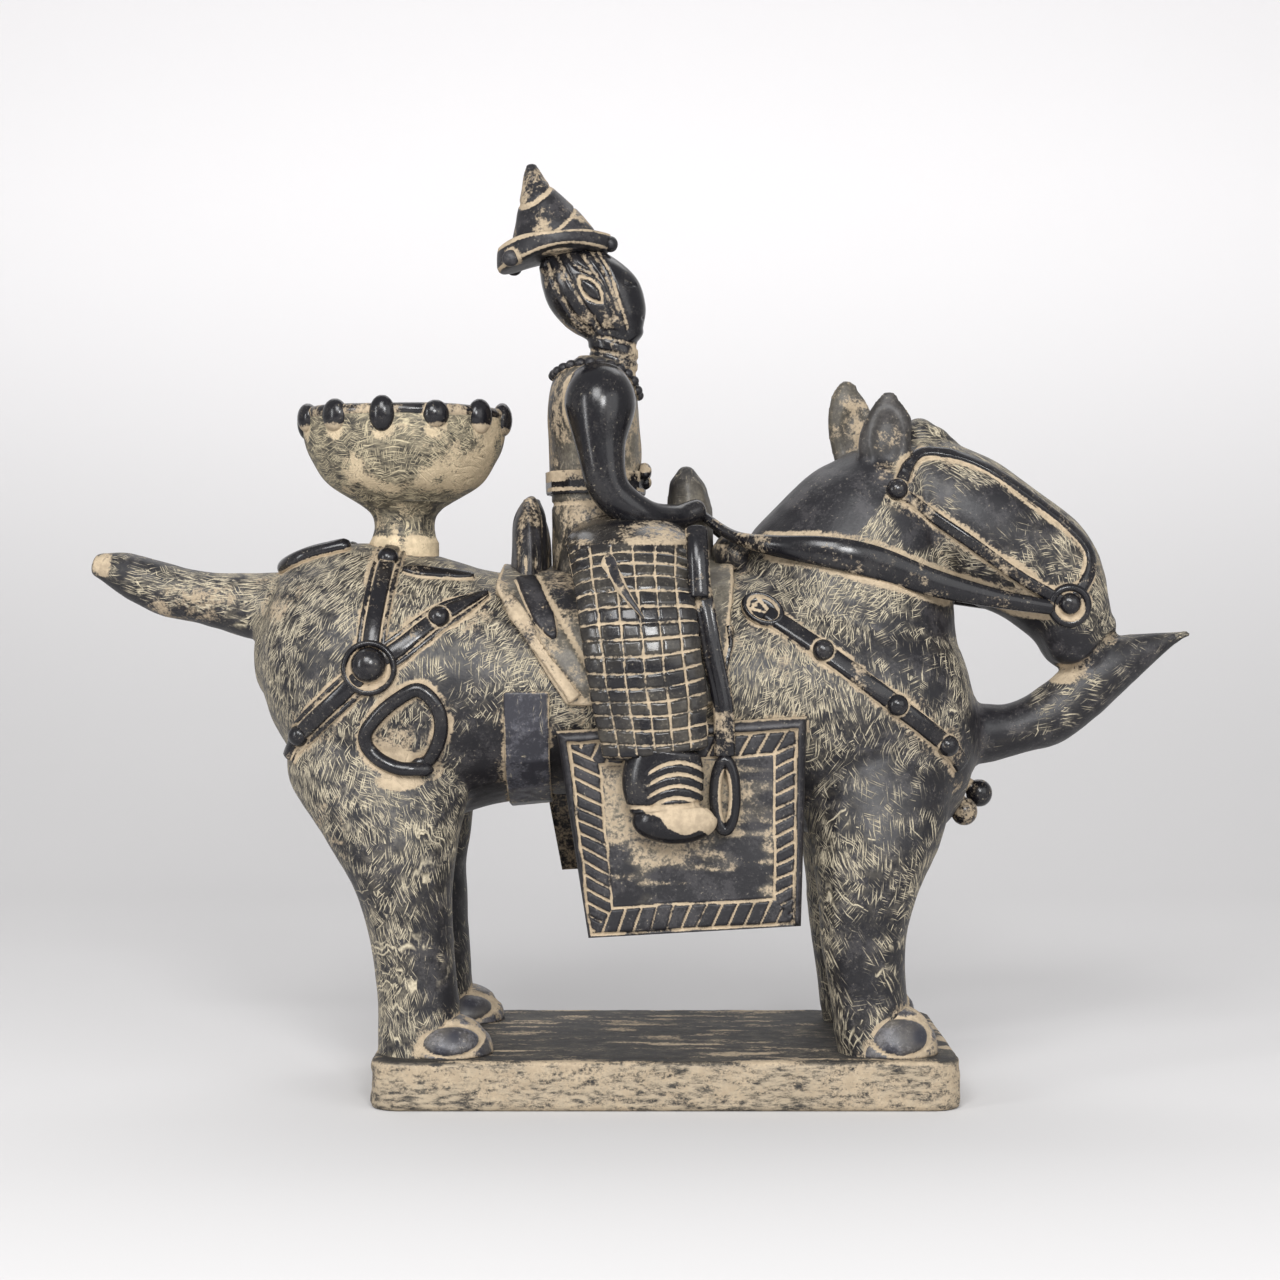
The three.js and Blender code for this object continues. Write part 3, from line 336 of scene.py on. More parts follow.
def level_rings(centre, halves, turns, sides):
    """Level rings of an ellipsoid at the given turns above its middle."""
    return [ring_at(centre + (0, 0, halves[2] * math.sin(t)), np.array((halves[0] * math.cos(t), 0, 0)),
                    np.array((0, halves[1] * math.cos(t), 0)), sides) for t in turns]


def ellipsoid(centre, halves, sides):
    turns = np.linspace(-math.pi / 2, math.pi / 2, sides // 2 + 1)[1:-1]
    return skin(level_rings(np.array(centre, float), halves, turns, sides))


def turned(profile, centre, axis, sides):
    """A lathe-turned form: rows are radius and height along the axis."""
    axis = unit(np.array(axis, float))
    helper = UP if abs(axis[2]) < 0.9 else np.array((1.0, 0, 0))
    one = unit(np.cross(axis, helper))
    two = np.cross(axis, one)
    rings = [ring_at(np.array(centre) + axis * h, one * r, two * r, sides) for r, h in profile]
    return skin(rings)


def together(*forms):
    points = []
    faces = []
    start = 0
    for form_points, form_faces in forms:
        points.append(form_points)
        faces.extend(tuple(k + start for k in face) for face in form_faces)
        start += len(form_points)
    return np.vstack(points), faces


# Meshes

def plain_faces(faces):
    return [tuple(int(k) for k in face) for face in faces]


def raw_mesh(points, faces):
    mesh = bpy.data.meshes.new("clay")
    mesh.from_pydata((np.asarray(points) * MM).tolist(), [], plain_faces(faces))
    mesh.update()
    return mesh


def mesh_points(mesh):
    points = np.empty(len(mesh.vertices) * 3)
    mesh.vertices.foreach_get("co", points)
    return points.reshape(-1, 3) / MM


def cad_form(name):
    mesh = frame["nodes"][name].data
    return mesh_points(mesh), [tuple(p.vertices) for p in mesh.polygons]


def voxel_skin(forms, voxel):
    """One even skin of quads round overlapping forms."""
    mesh = raw_mesh(*together(*forms))
    blank = bpy.data.objects.new("blank", mesh)
    bpy.context.scene.collection.objects.link(blank)
    remesh = blank.modifiers.new("skin", "REMESH")
    remesh.mode = "VOXEL"
    remesh.voxel_size = voxel * MM
    done = blank.evaluated_get(bpy.context.evaluated_depsgraph_get()).to_mesh()
    points = mesh_points(done)
    corners = np.empty(len(done.loops), np.int32)
    done.loops.foreach_get("vertex_index", corners)
    bpy.data.objects.remove(blank)
    bpy.data.meshes.remove(mesh)
    return largest(points, corners.reshape(-1, 4).astype(np.int64))


def quad_edges(quads):
    return np.vstack([quads[:, [0, 1]], quads[:, [1, 2]], quads[:, [2, 3]], quads[:, [3, 0]]])


def largest(points, quads):
    """The largest connected body of a mesh."""
    label = np.arange(len(points))
    edges = quad_edges(quads)
    while True:
        low = np.minimum(label[edges[:, 0]], label[edges[:, 1]])
        new = label.copy()
        np.minimum.at(new, edges[:, 0], low)
        np.minimum.at(new, edges[:, 1], low)
        new = new[new]
        new = new[new]
        if np.array_equal(new, label):
            break
        label = new
    keep = label == np.bincount(label).argmax()
    number = np.cumsum(keep) - 1
    return points[keep], number[quads[keep[quads[:, 0]]]]


class Graph:
    """Neighbours of every point of a quad mesh."""

    def __init__(self, quads, count):
        edges = np.unique(np.sort(quad_edges(quads), axis=1), axis=0)
        self.one = np.concatenate([edges[:, 0], edges[:, 1]])
        self.two = np.concatenate([edges[:, 1], edges[:, 0]])
        self.degree = np.maximum(np.bincount(self.one, minlength=count), 1)

    def mean(self, values):
        columns = values.reshape(len(values), -1)
        out = [np.bincount(self.one, weights=columns[self.two, k], minlength=len(values)) / self.degree
               for k in range(columns.shape[1])]
        return np.column_stack(out).reshape(values.shape)

    def blur(self, values, rounds):
        for _ in range(rounds):
            values = self.mean(values)
        return values

    def hollow(self, points, normals, rounds):
        """How far the surface dips at each point, blurred."""
        return self.blur(dots(self.mean(points) - points, normals), rounds)

    def relax(self, points, rounds, weight=None, keep=True):
        """Smooths points; with keep the form doesn't shrink."""
        weight = 1.0 if weight is None else weight[:, None]
        for _ in range(rounds):
            points = points + 0.5 * weight * (self.mean(points) - points)
            if keep:
                points = points - 0.52 * weight * (self.mean(points) - points)
        return points


def soft_skin(forms, voxel, rounds=8):
    """One smoothed skin round overlapping forms: its points, quads and graph."""
    points, quads = voxel_skin(forms, voxel)
    graph = Graph(quads, len(points))
    return graph.relax(points, rounds), quads, graph


def point_normals(points, faces):
    if not isinstance(faces, np.ndarray):
        faces = np.array([face if len(face) == 4 else (*face, face[2]) for face in faces])
    one = points[faces[:, 2]] - points[faces[:, 0]]
    two = points[faces[:, 3]] - points[faces[:, 1]]
    face_normal = np.cross(one, two)
    out = np.zeros_like(points)
    for corner in range(4):
        for axis in range(3):
            out[:, axis] += np.bincount(faces[:, corner], weights=face_normal[:, axis], minlength=len(points))
    return unit(out)


# How far along a ray that misses a surface the nearest place is looked for
RAY_MISS = 160


class Ground:
    """A surface that other pieces are laid on."""

    def __init__(self, points, faces):
        self.tree = BVHTree.FromPolygons([Vector(p) for p in points], plain_faces(faces))

    def ray(self, origin, direction):
        """The place and the normal that a ray meets, or those nearest to a point well along it."""
        place, normal, _, _ = self.tree.ray_cast(Vector(origin), Vector(direction))
        if place is None:
            place, normal, _, _ = self.tree.find_nearest(Vector(origin) + Vector(direction) * RAY_MISS)
        if normal.dot(Vector(direction)) > 0:
            normal = -normal
        return np.array(place), np.array(normal)

    def side(self, x, z, side):
        """The place and the normal at a point of the side view; z counts from the base slab's top."""
        return self.ray((x, side * BESIDE, z + BASE_TOP), (0, -side, 0))

    def side_line(self, path, side):
        hits = [self.side(x, z, side) for x, z in path]
        return np.array([hit[0] for hit in hits]), np.array([hit[1] for hit in hits])

    def nearest(self, points):
        """Signed distances, nearest places and normals."""
        places = np.empty((len(points), 3))
        normals = np.empty((len(points), 3))
        for k, point in enumerate(points):
            place, normal, _, _ = self.tree.find_nearest(Vector(point))
            places[k] = place
            normals[k] = normal
        return dots(np.asarray(points) - places, normals), places, normals

    def away(self, points):
        return self.nearest(points)[0]


def put(name, form, material, slot, normals=None, **attributes):
    """Makes a piece from a form and its point attributes, each given by point or as one value.

    It replaces the solid of its own name, if the frame has one.
    """
    points, faces = form
    mesh = raw_mesh(points, faces)
    mesh.polygons.foreach_set("use_smooth", np.ones(len(mesh.polygons), bool))
    if normals is not None:
        mesh.normals_split_custom_set_from_vertices([tuple(n) for n in normals])
    for key, values in attributes.items():
        if key == "flow":
            layer = mesh.attributes.new(key, "FLOAT_VECTOR", "POINT")
            spread = np.broadcast_to(values, (len(points), 3))
            layer.data.foreach_set("vector", spread.astype(np.float32).ravel())
        else:
            layer = mesh.attributes.new(key, "FLOAT", "POINT")
            layer.data.foreach_set("value", np.broadcast_to(values, len(points)).astype(np.float32))
    mesh.materials.append(material)
    mesh.name = f"{name}_shape"
    piece = bpy.data.objects.new(f"{name}_shape", mesh)
    bpy.context.scene.collection.objects.link(piece)
    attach(piece, "root")
    if name in frame["nodes"]:
        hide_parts(name)


def burnished(name, form, wash):
    """A piece of smooth dark clay."""
    put(name, form, BURNISHED, "burnished_clay", wash=wash, comb=0.0)


# Materials

class Value:
    """What a node gives out; a number can be added, subtracted, multiplied and divided."""

    def __init__(self, nodes, socket):
        self.nodes = nodes
        self.socket = socket

    def __add__(self, other):
        return self.nodes.math("ADD", self, other)

    def __sub__(self, other):
        return self.nodes.math("SUBTRACT", self, other)

    def __rsub__(self, other):
        return self.nodes.math("SUBTRACT", other, self)

    def __mul__(self, other):
        return self.nodes.math("MULTIPLY", self, other)

    def __truediv__(self, other):
        return self.nodes.math("DIVIDE", self, other)


class Nodes:
    """A small hand for writing the node tree of a material."""

    def __init__(self, name):
        self.material = bpy.data.materials.new(name)
        self.material.use_nodes = True
        self.tree = self.material.node_tree
        self.tree.nodes.clear()

    def add(self, kind, inputs, **settings):
        node = self.tree.nodes.new(kind)
        for key, value in settings.items():
            setattr(node, key, value)
        for key, value in inputs.items():
            if isinstance(value, Value):
                self.tree.links.new(value.socket, node.inputs[key])
            else:
                node.inputs[key].default_value = value
        return node

    def value(self, node, output):
        return Value(self, node.outputs[output])

    def give(self, kind, inputs, output=0, **settings):
        """Adds a node and gives one of its outputs."""
        return self.value(self.add(kind, inputs, **settings), output)

    def math(self, operation, *values):
        return self.give("ShaderNodeMath", dict(enumerate(values)), operation=operation)

    def vector(self, operation, *values):
        output = "Value" if operation == "DOT_PRODUCT" else "Vector"
        return self.give("ShaderNodeVectorMath", dict(enumerate(values)), output, operation=operation)

    def scaled(self, vector, factor):
        return self.give("ShaderNodeVectorMath", {0: vector, "Scale": factor}, "Vector", operation="SCALE")

    def smooth(self, value, low, high, to_low=0.0, to_high=1.0):
        inputs = {"Value": value, "From Min": low, "From Max": high, "To Min": to_low, "To Max": to_high}
        return self.give("ShaderNodeMapRange", inputs, "Result", interpolation_type="SMOOTHSTEP")

    def noise(self, vector, size, detail=2.0, roughness=0.5, output="Fac"):
        inputs = {"Vector": vector, "Scale": 1 / size, "Detail": detail, "Roughness": roughness}
        return self.give("ShaderNodeTexNoise", inputs, output)

    def mix(self, factor, one, two):
        """A mix of two colours."""
        return self.give("ShaderNodeMix", {0: factor, 6: one, 7: two}, 2, data_type="RGBA")

    def attribute(self, name, output="Fac"):
        return self.give("ShaderNodeAttribute", {}, output, attribute_name=name)

    def place(self):
        return self.give("ShaderNodeTexCoord", {}, "Object")

    def surface(self, inputs):
        """The material, with a shader of the given inputs."""
        shader = self.give("ShaderNodeBsdfPrincipled", inputs)
        self.add("ShaderNodeOutputMaterial", {0: shader}).is_active_output = True
        return self.material


CREAM = (0.47, 0.375, 0.26, 1)
STROKE = (0.52, 0.455, 0.33, 1)
WEAR = 0.35
DUST = 0.2
CREAM_SHADE = 0.72
BUMP_HEIGHT = 0.25
# Passes of the comb: size of a patch, gap between strokes, length of a stroke and swing of a patch in radians
COMB_PASSES = ((23.0, 0.6, 10.0, 0.9), (17.0, 0.54, 8.0, 1.5), (11.0, 0.5, 6.0, 2.4))


class Clay(Nodes):
    """Burnished dark clay with combed scratches and a pale wash in the hollows.

    Point attributes steer it: wash is the pale wash, haze a thin film of it, comb the scratches, flow their
    direction and soot the lack of sand.
    """

    def __init__(self, name):
        super().__init__(name)
        self.at = self.scaled(self.place(), 1 / MM)
        self.shade = self.noise(self.at, 8.0, 6.0, 0.7)
        self.mid = self.noise(self.at, 2.4, 3.0, 0.6)
        self.grain = self.noise(self.at, 0.8, 3.0, 0.65)
        self.comb = self.attribute("comb")
        self.reach = self.comb_reach()

    def comb_reach(self):
        """How densely the strokes stand, with bare places between them."""
        cover = self.noise(self.at, 22.0, 3.0, 0.6)
        reach = self.smooth(cover * 0.8 + self.shade * 0.55 + self.comb * 0.85, 0.78, 1.5)
        return reach * self.smooth(self.comb, 0.02, 0.35)

    def combed(self, flow, cell, spacing, length, swing, seed):
        """Strokes of a toothed comb: patches of parallel dashes, each patch turned its own way."""
        moved = self.vector("ADD", self.at, (31.7 * seed, 17.3 * seed, 11.1 * seed))
        drift = self.vector("SUBTRACT", self.noise(moved, cell * 0.35, output="Color"), (0.5, 0.5, 0.5))
        ragged = self.scaled(self.vector("ADD", moved, self.scaled(drift, cell * 0.9)), 1 / cell)
        patch = self.add("ShaderNodeTexVoronoi", {"Vector": ragged, "Scale": 1.0})
        local = self.vector("SUBTRACT", moved, self.scaled(self.value(patch, "Position"), cell))
        chance = self.add("ShaderNodeSeparateColor", {0: self.value(patch, "Color")})
        turn, lead, shift = (self.value(chance, k) for k in range(3))
        normal = self.give("ShaderNodeNewGeometry", {}, "Normal")
        turned_flow = {"Vector": flow, "Axis": normal, "Angle": (turn - 0.5) * swing}
        along = self.give("ShaderNodeVectorRotate", turned_flow, rotation_type="AXIS_ANGLE")
        across = self.vector("CROSS_PRODUCT", normal, along)
        u = self.vector("DOT_PRODUCT", local, along) / length + lead * 91.0
        v = self.vector("DOT_PRODUCT", local, across) / spacing + shift * 57.0
        lane = {"Vector": self.give("ShaderNodeCombineXYZ", {0: u, 1: v}), "Scale": 1.0, "Randomness": 0.85}
        dash = self.add("ShaderNodeTexVoronoi", lane, voronoi_dimensions="2D")
        pick = self.give("ShaderNodeSeparateColor", {0: self.value(dash, "Color")})
        kept = self.smooth(self.reach - pick, 0.0, 0.45)
        return kept * self.smooth(self.value(dash, "Distance"), 0.1, 0.36, 1.0, 0.0)

    def scratches(self):
        """The passes of the comb over one another, thinned by the grain."""
        flow = self.attribute("flow", "Vector")
        one, two, three = (self.combed(flow, *strokes, seed) for seed, strokes in enumerate(COMB_PASSES, 1))
        strokes = self.math("MAXIMUM", one, self.math("MAXIMUM", two, three))
        return strokes * self.smooth(self.grain, 0.3, 0.6, 0.5, 0.95)

    def pale_wash(self):
        """The pale wash, broken at its edge as if it had dried."""
        wash = self.attribute("wash")
        broken = (self.mid - 0.5) * 1.1 + (self.grain - 0.5)
        return self.smooth(wash + broken * self.smooth(wash, 0.0, 0.3), 0.38, 0.8)

    def fired_body(self, dark, dusk, stroke):
        """The dark clay: mottled, worn at the grain, dusty where it is combed, and filmed with haze."""
        body = self.mix(self.smooth(self.shade + (self.grain - 0.5) * 0.4, 0.46, 0.62), dark, dusk)
        worn = self.smooth(self.grain, 0.62, 0.72) * self.smooth(self.shade, 0.44, 0.56)
        body = self.mix(worn * WEAR, body, stroke)
        dust = self.reach * self.smooth(self.mid, 0.4, 0.7) * self.comb
        body = self.mix(dust * DUST, body, stroke)
        film = self.smooth(self.mid + self.grain, 0.75, 1.3, 0.5, 1.0)
        return self.mix(self.attribute("haze") * film, body, stroke)

    def sanded(self, body, stroke, speckle):
        """Sand dragged along the clay, apart from where it is sooty."""
        dragged = self.vector("MULTIPLY", self.at, (0.3, 0.5, 1.1))
        sand = self.smooth(self.noise(dragged, 1.5, 5.0, 0.75), 0.5 - speckle * 0.2, 0.6)
        clean = speckle - self.attribute("soot") * speckle
        return self.mix(sand * clean, body, stroke)

    def washed(self, colour, pale, cream):
        shaded = tuple(channel * CREAM_SHADE for channel in cream[:3]) + (1,)
        tinted = self.mix(self.smooth(self.mid, 0.35, 0.7), cream, shaded)
        return self.mix(pale * 0.96, colour, tinted)


def clay(name, dark, dusk, gloss, bump, stroke=STROKE, cream=CREAM, speckle=0.0):
    """A clay with its dark and its duller tone, its roughness, its relief and its share of sand."""
    nodes = Clay(name)
    scratch = nodes.scratches()
    pale = nodes.pale_wash()
    body = nodes.fired_body(dark, dusk, stroke)
    if speckle:
        body = nodes.sanded(body, stroke, speckle)
    colour = nodes.washed(nodes.mix(scratch, body, stroke), pale, cream)
    polish = (nodes.grain - 0.5) * 0.22 + gloss
    rough = nodes.smooth(nodes.math("MAXIMUM", scratch, pale), 0.0, 1.0, polish, 0.86)
    height = nodes.grain * 0.35 - scratch * 0.8 + nodes.mid * 0.5
    relief = nodes.give("ShaderNodeBump", {"Strength": bump, "Distance": BUMP_HEIGHT * MM, "Height": height})
    inputs = {"Base Color": colour, "Roughness": rough, "Normal": relief, "Specular IOR Level": 0.38}
    return nodes.surface(inputs)


COMBED = clay("combed_clay", (0.009, 0.0085, 0.011, 1), (0.031, 0.029, 0.032, 1), 0.46, 0.7)
BURNISHED = clay("burnished_clay", (0.0075, 0.0072, 0.0092, 1), (0.018, 0.0168, 0.018, 1), 0.22, 0.16)
# A lighter grey-blue clay: on the girth this tone is a painted sheen, on the hooves it is their own matte
# grey.
GREY_BLUE_AND_SHEEN_CLAY = clay("grey_blue_and_sheen_clay", (0.03, 0.03, 0.038, 1), (0.085, 0.085, 0.1, 1), 0.4, 0.3)
SANDY = clay("sandy_clay", (0.022, 0.02, 0.019, 1), (0.05, 0.044, 0.036, 1), 0.7, 0.9,
             stroke=(0.5, 0.41, 0.29, 1), speckle=0.66)
BOWL = clay("bowl_clay", (0.024, 0.022, 0.02, 1), (0.07, 0.062, 0.046, 1), 0.58, 0.6,
            stroke=(0.5, 0.43, 0.29, 1), cream=(0.62, 0.5, 0.335, 1), speckle=0.25)


# The horse's body: one skin over all limbs, parted later at the seams of the solids

TRUNK_WIDTH = 82
NECK_WIDTH = 70
HEAD_WIDTH = 41
TAIL_WIDTH = 20
HORN_WIDTH = 20
FORELOCK_WIDTH = 15
EAR_WIDTH = 7
LEG_WIDTH = 23
LEG_MIDDLE = 28.5
EAR_MIDDLE = 12.5
SKIN_VOXEL = 0.9
BODY_NODES = ["trunk", "neck", "head", "tail", "chest_horn", "forelock"] + [
    sided(name, side) for name in ("ear", "hind_leg", "fore_leg") for side in SIDES]
# Spots in the side view: x, z and the two half-sizes
FORELOCK_SPOT = (79, 178, 12, 8)
JAW_SPOT = (121, 118, 11, 9)
# The hollow of each ear: the side, then its spot
EAR_CUPS = ((-1, 65.4, 177.5, 5.6, 10), (1, 58, 181.5, 5.4, 10.5))
JAW_CREASE = [(110.5, 107), (115, 110), (122.8, 110.6), (129.3, 116.4), (134.5, 120)]


def body_forms():
    forms = [
        loft(TRUNK, TRUNK_WIDTH, 64, 6, (2.4, 2)), loft(NECK, NECK_WIDTH, domes=(1, 6)),
        loft(HEAD, HEAD_WIDTH, domes=(5, 5)), loft(TAIL, TAIL_WIDTH), loft(HORN, HORN_WIDTH, domes=(1, 3)),
        loft(FORELOCK, FORELOCK_WIDTH), loft(RIGHT_EAR, EAR_WIDTH, middle=-EAR_MIDDLE),
        loft(LEFT_EAR, EAR_WIDTH, middle=EAR_MIDDLE),
    ]
    for side in SIDES:
        forms.append(loft(HIND_LEG, LEG_WIDTH, middle=LEG_MIDDLE * side))
        forms.append(loft(FORE_LEG, LEG_WIDTH, middle=LEG_MIDDLE * side))
    return forms


def in_spot(points, spot):
    """1 in the middle of an oval spot of the side view, 0 outside it."""
    x, z, half_x, half_z = spot
    off = (side_view(points) - (x, z)) / (half_x, half_z)
    return step(np.hypot(off[:, 0], off[:, 1]), 1.0, 0.45)


def sideways(normals, low, high):
    """1 where the surface faces one of the sides."""
    return step(abs(normals[:, 1]), low, high)


def ear_cups(points):
    """1 in the hollows of the two ears."""
    return most(*(in_spot(points, spot) * step(abs(points[:, 1] - side * EAR_MIDDLE), 6, 4.5)
                  for side, *spot in EAR_CUPS))


def jaw_crease(points, normals):
    """1 along the line where the jaw sits on the horn."""
    return cut_lines(side_view(points), [spline(JAW_CREASE, 6)], 2.0, 0.4) * sideways(normals, 0.15, 0.5)


def body_skin():
    """The skin: smoothed, filled where limbs meet, and marked by the hand."""
    points, quads, graph = soft_skin(body_forms(), SKIN_VOXEL)
    for _ in range(3):
        hollow = graph.hollow(points, point_normals(points, quads), 4)
        points = graph.relax(points, 10, step(hollow, 0.012, 0.05), keep=False)
    normals = point_normals(points, quads)
    hand = layered(points, 0.0, (0.55, 24, 1), (0.28, 9, 2), (0.1, 3.5, 3))
    hand += 0.9 * noise(points, 4.5, 4) * in_spot(points, FORELOCK_SPOT)
    hand -= 1.9 * ear_cups(points) * sideways(normals, 0.4, 0.8)
    hand += 1.3 * in_spot(points, JAW_SPOT) * sideways(normals, 0.2, 0.6) - 1.8 * jaw_crease(points, normals)
    hand *= step(points[:, 2], BASE_TOP, BASE_TOP + 6)
    return moved_along(points, normals, hand), quads, graph


def node_owner(names, points):
    """The number of the named solid that each point is nearest to."""
    forms = [cad_form(name) for name in names]
    corners, faces = together(*forms)
    owner = np.repeat(np.arange(len(forms)), [len(form[1]) for form in forms])
    tree = BVHTree.FromPolygons([Vector(p) for p in corners], faces)
    return owner[[tree.find_nearest(Vector(point))[2] for point in points]]


body_points, body_quads, body_graph = body_skin()
body_ground = Ground(body_points, body_quads)
# Points of all pieces that lie on the body
laid = []


# Pieces laid on the body

def even(line, gap):
    """Points at an even gap along a polyline."""
    line = np.asarray(line, float)
    run = run_along(line)
    count = max(int(run[-1] / gap), 4)
    at = np.linspace(0, run[-1], count + 1)
    return np.column_stack([np.interp(at, run, line[:, k]) for k in range(line.shape[1])])


def blurred(values, rounds):
    for _ in range(rounds):
        padded = np.concatenate([values[:1], values, values[-1:]])
        values = (padded[:-2] + 2 * padded[1:-1] + padded[2:]) / 4
    return values


def mirrored(half):
    """A strap's cross-section from its left half: place across, height and wash."""
    return half + [(-reach, rise, wash) for reach, rise, wash in half[-2::-1]]


PLAIN_STRAP = mirrored([
    (-0.55, -0.8, 0.5), (-0.51, 0.1, 0.9), (-0.475, 0.45, 1), (-0.445, 0.6, 0.8), (-0.42, 0.9, 0),
    (-0.39, 1.45, 0), (-0.34, 1.72, 0), (-0.2, 1.82, 0), (0, 1.85, 0),
])
EDGED_STRAP = mirrored([
    (-0.55, -0.8, 0.5), (-0.525, 0.1, 1), (-0.5, 0.6, 0.8), (-0.47, 0.9, 0.4), (-0.41, 0.95, 0.42),
    (-0.35, 0.75, 0.6), (-0.32, 0.6, 1), (-0.295, 0.75, 0.9), (-0.275, 1.2, 0), (-0.255, 1.65, 0),
    (-0.2, 1.85, 0), (0, 1.95, 0),
])


def rubbed(points, amount, seed):
    """Patches where the pale wash stayed on a burnished piece."""
    return patches(points, 0.6, amount, (0.35, 9, seed), (0.25, 3, seed + 1))


def wash_near(points, centre, low, high):
    return step(np.linalg.norm(points - centre, axis=1), high, low)


def leaning(normal, side, share):
    """A normal turned by a share to the side."""
    return unit(normal + np.array((0, share * side, 0)))


def outward(points, faces, ground):
    """Faces turned so that they look away from a surface."""
    a, b, c = (points[[face[k] for face in faces]] for k in (0, 1, 2))
    _, _, out = ground.nearest(a)
    if dots(np.cross(b - a, c - a), out).sum() < 0:
        return [face[::-1] for face in faces]
    return faces


def end_taper(share, taper):
    """How slim a strap is along its run, which narrows over a share of it at either end."""
    slim = np.ones(len(share))
    if taper[0]:
        slim *= np.sqrt(np.clip(share / taper[0], 0.02, 1))
    if taper[1]:
        slim *= np.sqrt(np.clip((1 - share) / taper[1], 0.02, 1))
    return slim


def draped(line, side, width, height, ground, taper, profile=PLAIN_STRAP):
    """A strap laid on a surface along a line of the side view: its form, and the wash in its grooves."""
    path = even(spline(line, 12), 0.7)
    centres, _ = ground.side_line(path, side)
    centres[:, 1] = blurred(centres[:, 1], 12)
    tangent = unit(blurred(np.gradient(centres, axis=0), 6))
    share = np.linspace(0, 1, len(path))
    slim = end_taper(share, taper)
    lift = np.minimum(step(share, 0, 0.03), step(share, 1, 0.97))
    normals = unit(blurred(ground.nearest(centres)[2], 10))
    across = unit(np.cross(normals, tangent))
    rows = []
    wash = []
    for reach, rise, pale in profile:
        _, base, out = ground.nearest(moved_along(centres, across, reach * width * slim))
        rises = np.where(lift > 0.5, rise * height, -0.7)
        rows.append(moved_along(base, unit(out + normals), rises))
        patchy = layered(base, 0.9, (0.45, 6, 5))
        wash.append(np.clip(np.maximum(pale * patchy, rubbed(base, 0.2, 6)), 0, 1))
    points = np.vstack(rows)
    faces = outward(points, grid_faces(len(profile), len(path)), ground)
    return (points, faces), np.concatenate(wash)


# A stud's profile: share of its radius, and height
STUD = [(1, -1.6), (1, 0.2), (0.96, 0.75), (0.86, 1.35), (0.7, 1.9), (0.5, 2.3), (0.27, 2.55), (0.03, 2.62)]
STUD_RADIUS = 3.1
STUD_RAISE = 1.6


def stud(x, z, side):
    place, normal = body_ground.side(x, z, side)
    profile = [(radius * STUD_RADIUS, STUD_RAISE + height) for radius, height in STUD]
    return turned(profile, place, leaning(normal, side, 0.4), 32)


def lay_burnished(name, form, wash):
    """A burnished piece that lies on the body."""
    laid.append(form[0])
    burnished(name, form, wash)


def tack(name, side, lines, width, studs=(), height=1.0, taper=(0.0, 0.0), profile=PLAIN_STRAP, more=()):
    """A strap of one or more draped lines with studs on them, and more forms, each with its wash."""
    forms = []
    washes = []
    for line in lines:
        form, wash = draped(line, side, width, height, body_ground, taper, profile)
        for x, z in studs:
            centre = body_ground.side(x, z, side)[0]
            ring = wash_near(form[0], centre, STUD_RADIUS + 0.5, STUD_RADIUS + 1.6)
            wash = np.maximum(wash, 0.95 * ring * layered(form[0], 0.8, (0.3, 5, 8)))
        forms.append(form)
        washes.append(wash)
    for x, z in studs:
        forms.append(stud(x, z, side))
        washes.append(np.zeros(len(forms[-1][0])))
    for form, wash in more:
        forms.append(form)
        washes.append(wash)
    lay_burnished(sided(name, side), together(*forms), np.concatenate(washes))


# Places in the side view, and the lines of the straps through them
ROSETTE = (-84.2, 110.6)
HIP_STUD = (-81.2, 141.5)
SIDE_STUD = (-64.8, 124.6)
BREECH_STUD = (-104.7, 91.3)
BREAST_STUDS = [(44.7, 115.4), (65.8, 100), (80.7, 88.3)]
BUCKLE = (28, 126.6)
TEMPLE = (67.5, 162)
BIT = (118.8, 128.6)
HIP_LINE = [(-80.6, 145.6), HIP_STUD, (-83.6, 120), ROSETTE]
SIDE_LINE = [(-51, 132), SIDE_STUD, (-76, 116), ROSETTE]
BREECH_LINE = [ROSETTE, (-91, 104), BREECH_STUD, (-109, 84)]
BREAST_LINE = [BUCKLE, *BREAST_STUDS, (86.5, 81)]
CHEEK_LINE = [TEMPLE, (86, 149.4), (103.4, 137.4), BIT]
FACE_LINE = [TEMPLE, (75, 173), (90, 171), (108, 160), (123, 147.5), (125, 139), BIT]
STRAP_WIDTH = 6.0
EDGED_WIDTH = 8.2
BRIDLE_WIDTH = 4.2
BRIDLE_HEIGHT = 0.8

# Turned profiles: radius and height
BIT_PROFILE = [
    (6.4, -2.5), (6.5, 0.8), (6.2, 1.8), (5.4, 2.2), (4.6, 1.9), (4.2, 1.2), (3.6, 1.05), (3.2, 1.5),
    (2.95, 2.4), (2.3, 3.2), (1.3, 3.6), (0.05, 3.75),
]
BIT_GROOVE = 3.8
ROSETTE_PROFILE = [
    (7.8, -2.5), (8.0, 0.6), (7.9, 1.6), (7.4, 2.3), (6.8, 2.4), (6.3, 1.9), (5.9, 1.2), (5.4, 1.1),
    (5.1, 1.7), (4.9, 2.9), (4.4, 4.2), (3.6, 5.2), (2.6, 5.9), (1.4, 6.3), (0.05, 6.45),
]
ROSETTE_GROOVE = 5.7
BUCKLE_PROFILE = [
    (6.3, -2), (6.4, 1.4), (6.0, 2.6), (5.2, 3.0), (4.6, 2.5), (4.3, 2.0), (3.6, 1.8), (2.8, 1.75),
    (2.0, 1.75), (1.2, 1.75), (0.05, 1.75),
]
BUCKLE_GROOVE = 4.3
BUCKLE_SLOPE = np.array((0.78, 0, -0.62))
BUCKLE_STRETCH = (1.08, 0.76)
BUCKLE_TONGUE = [(-2.6, -1.7), (3.2, 0.1), (-2.6, 1.9), (-2.6, -1.7)]


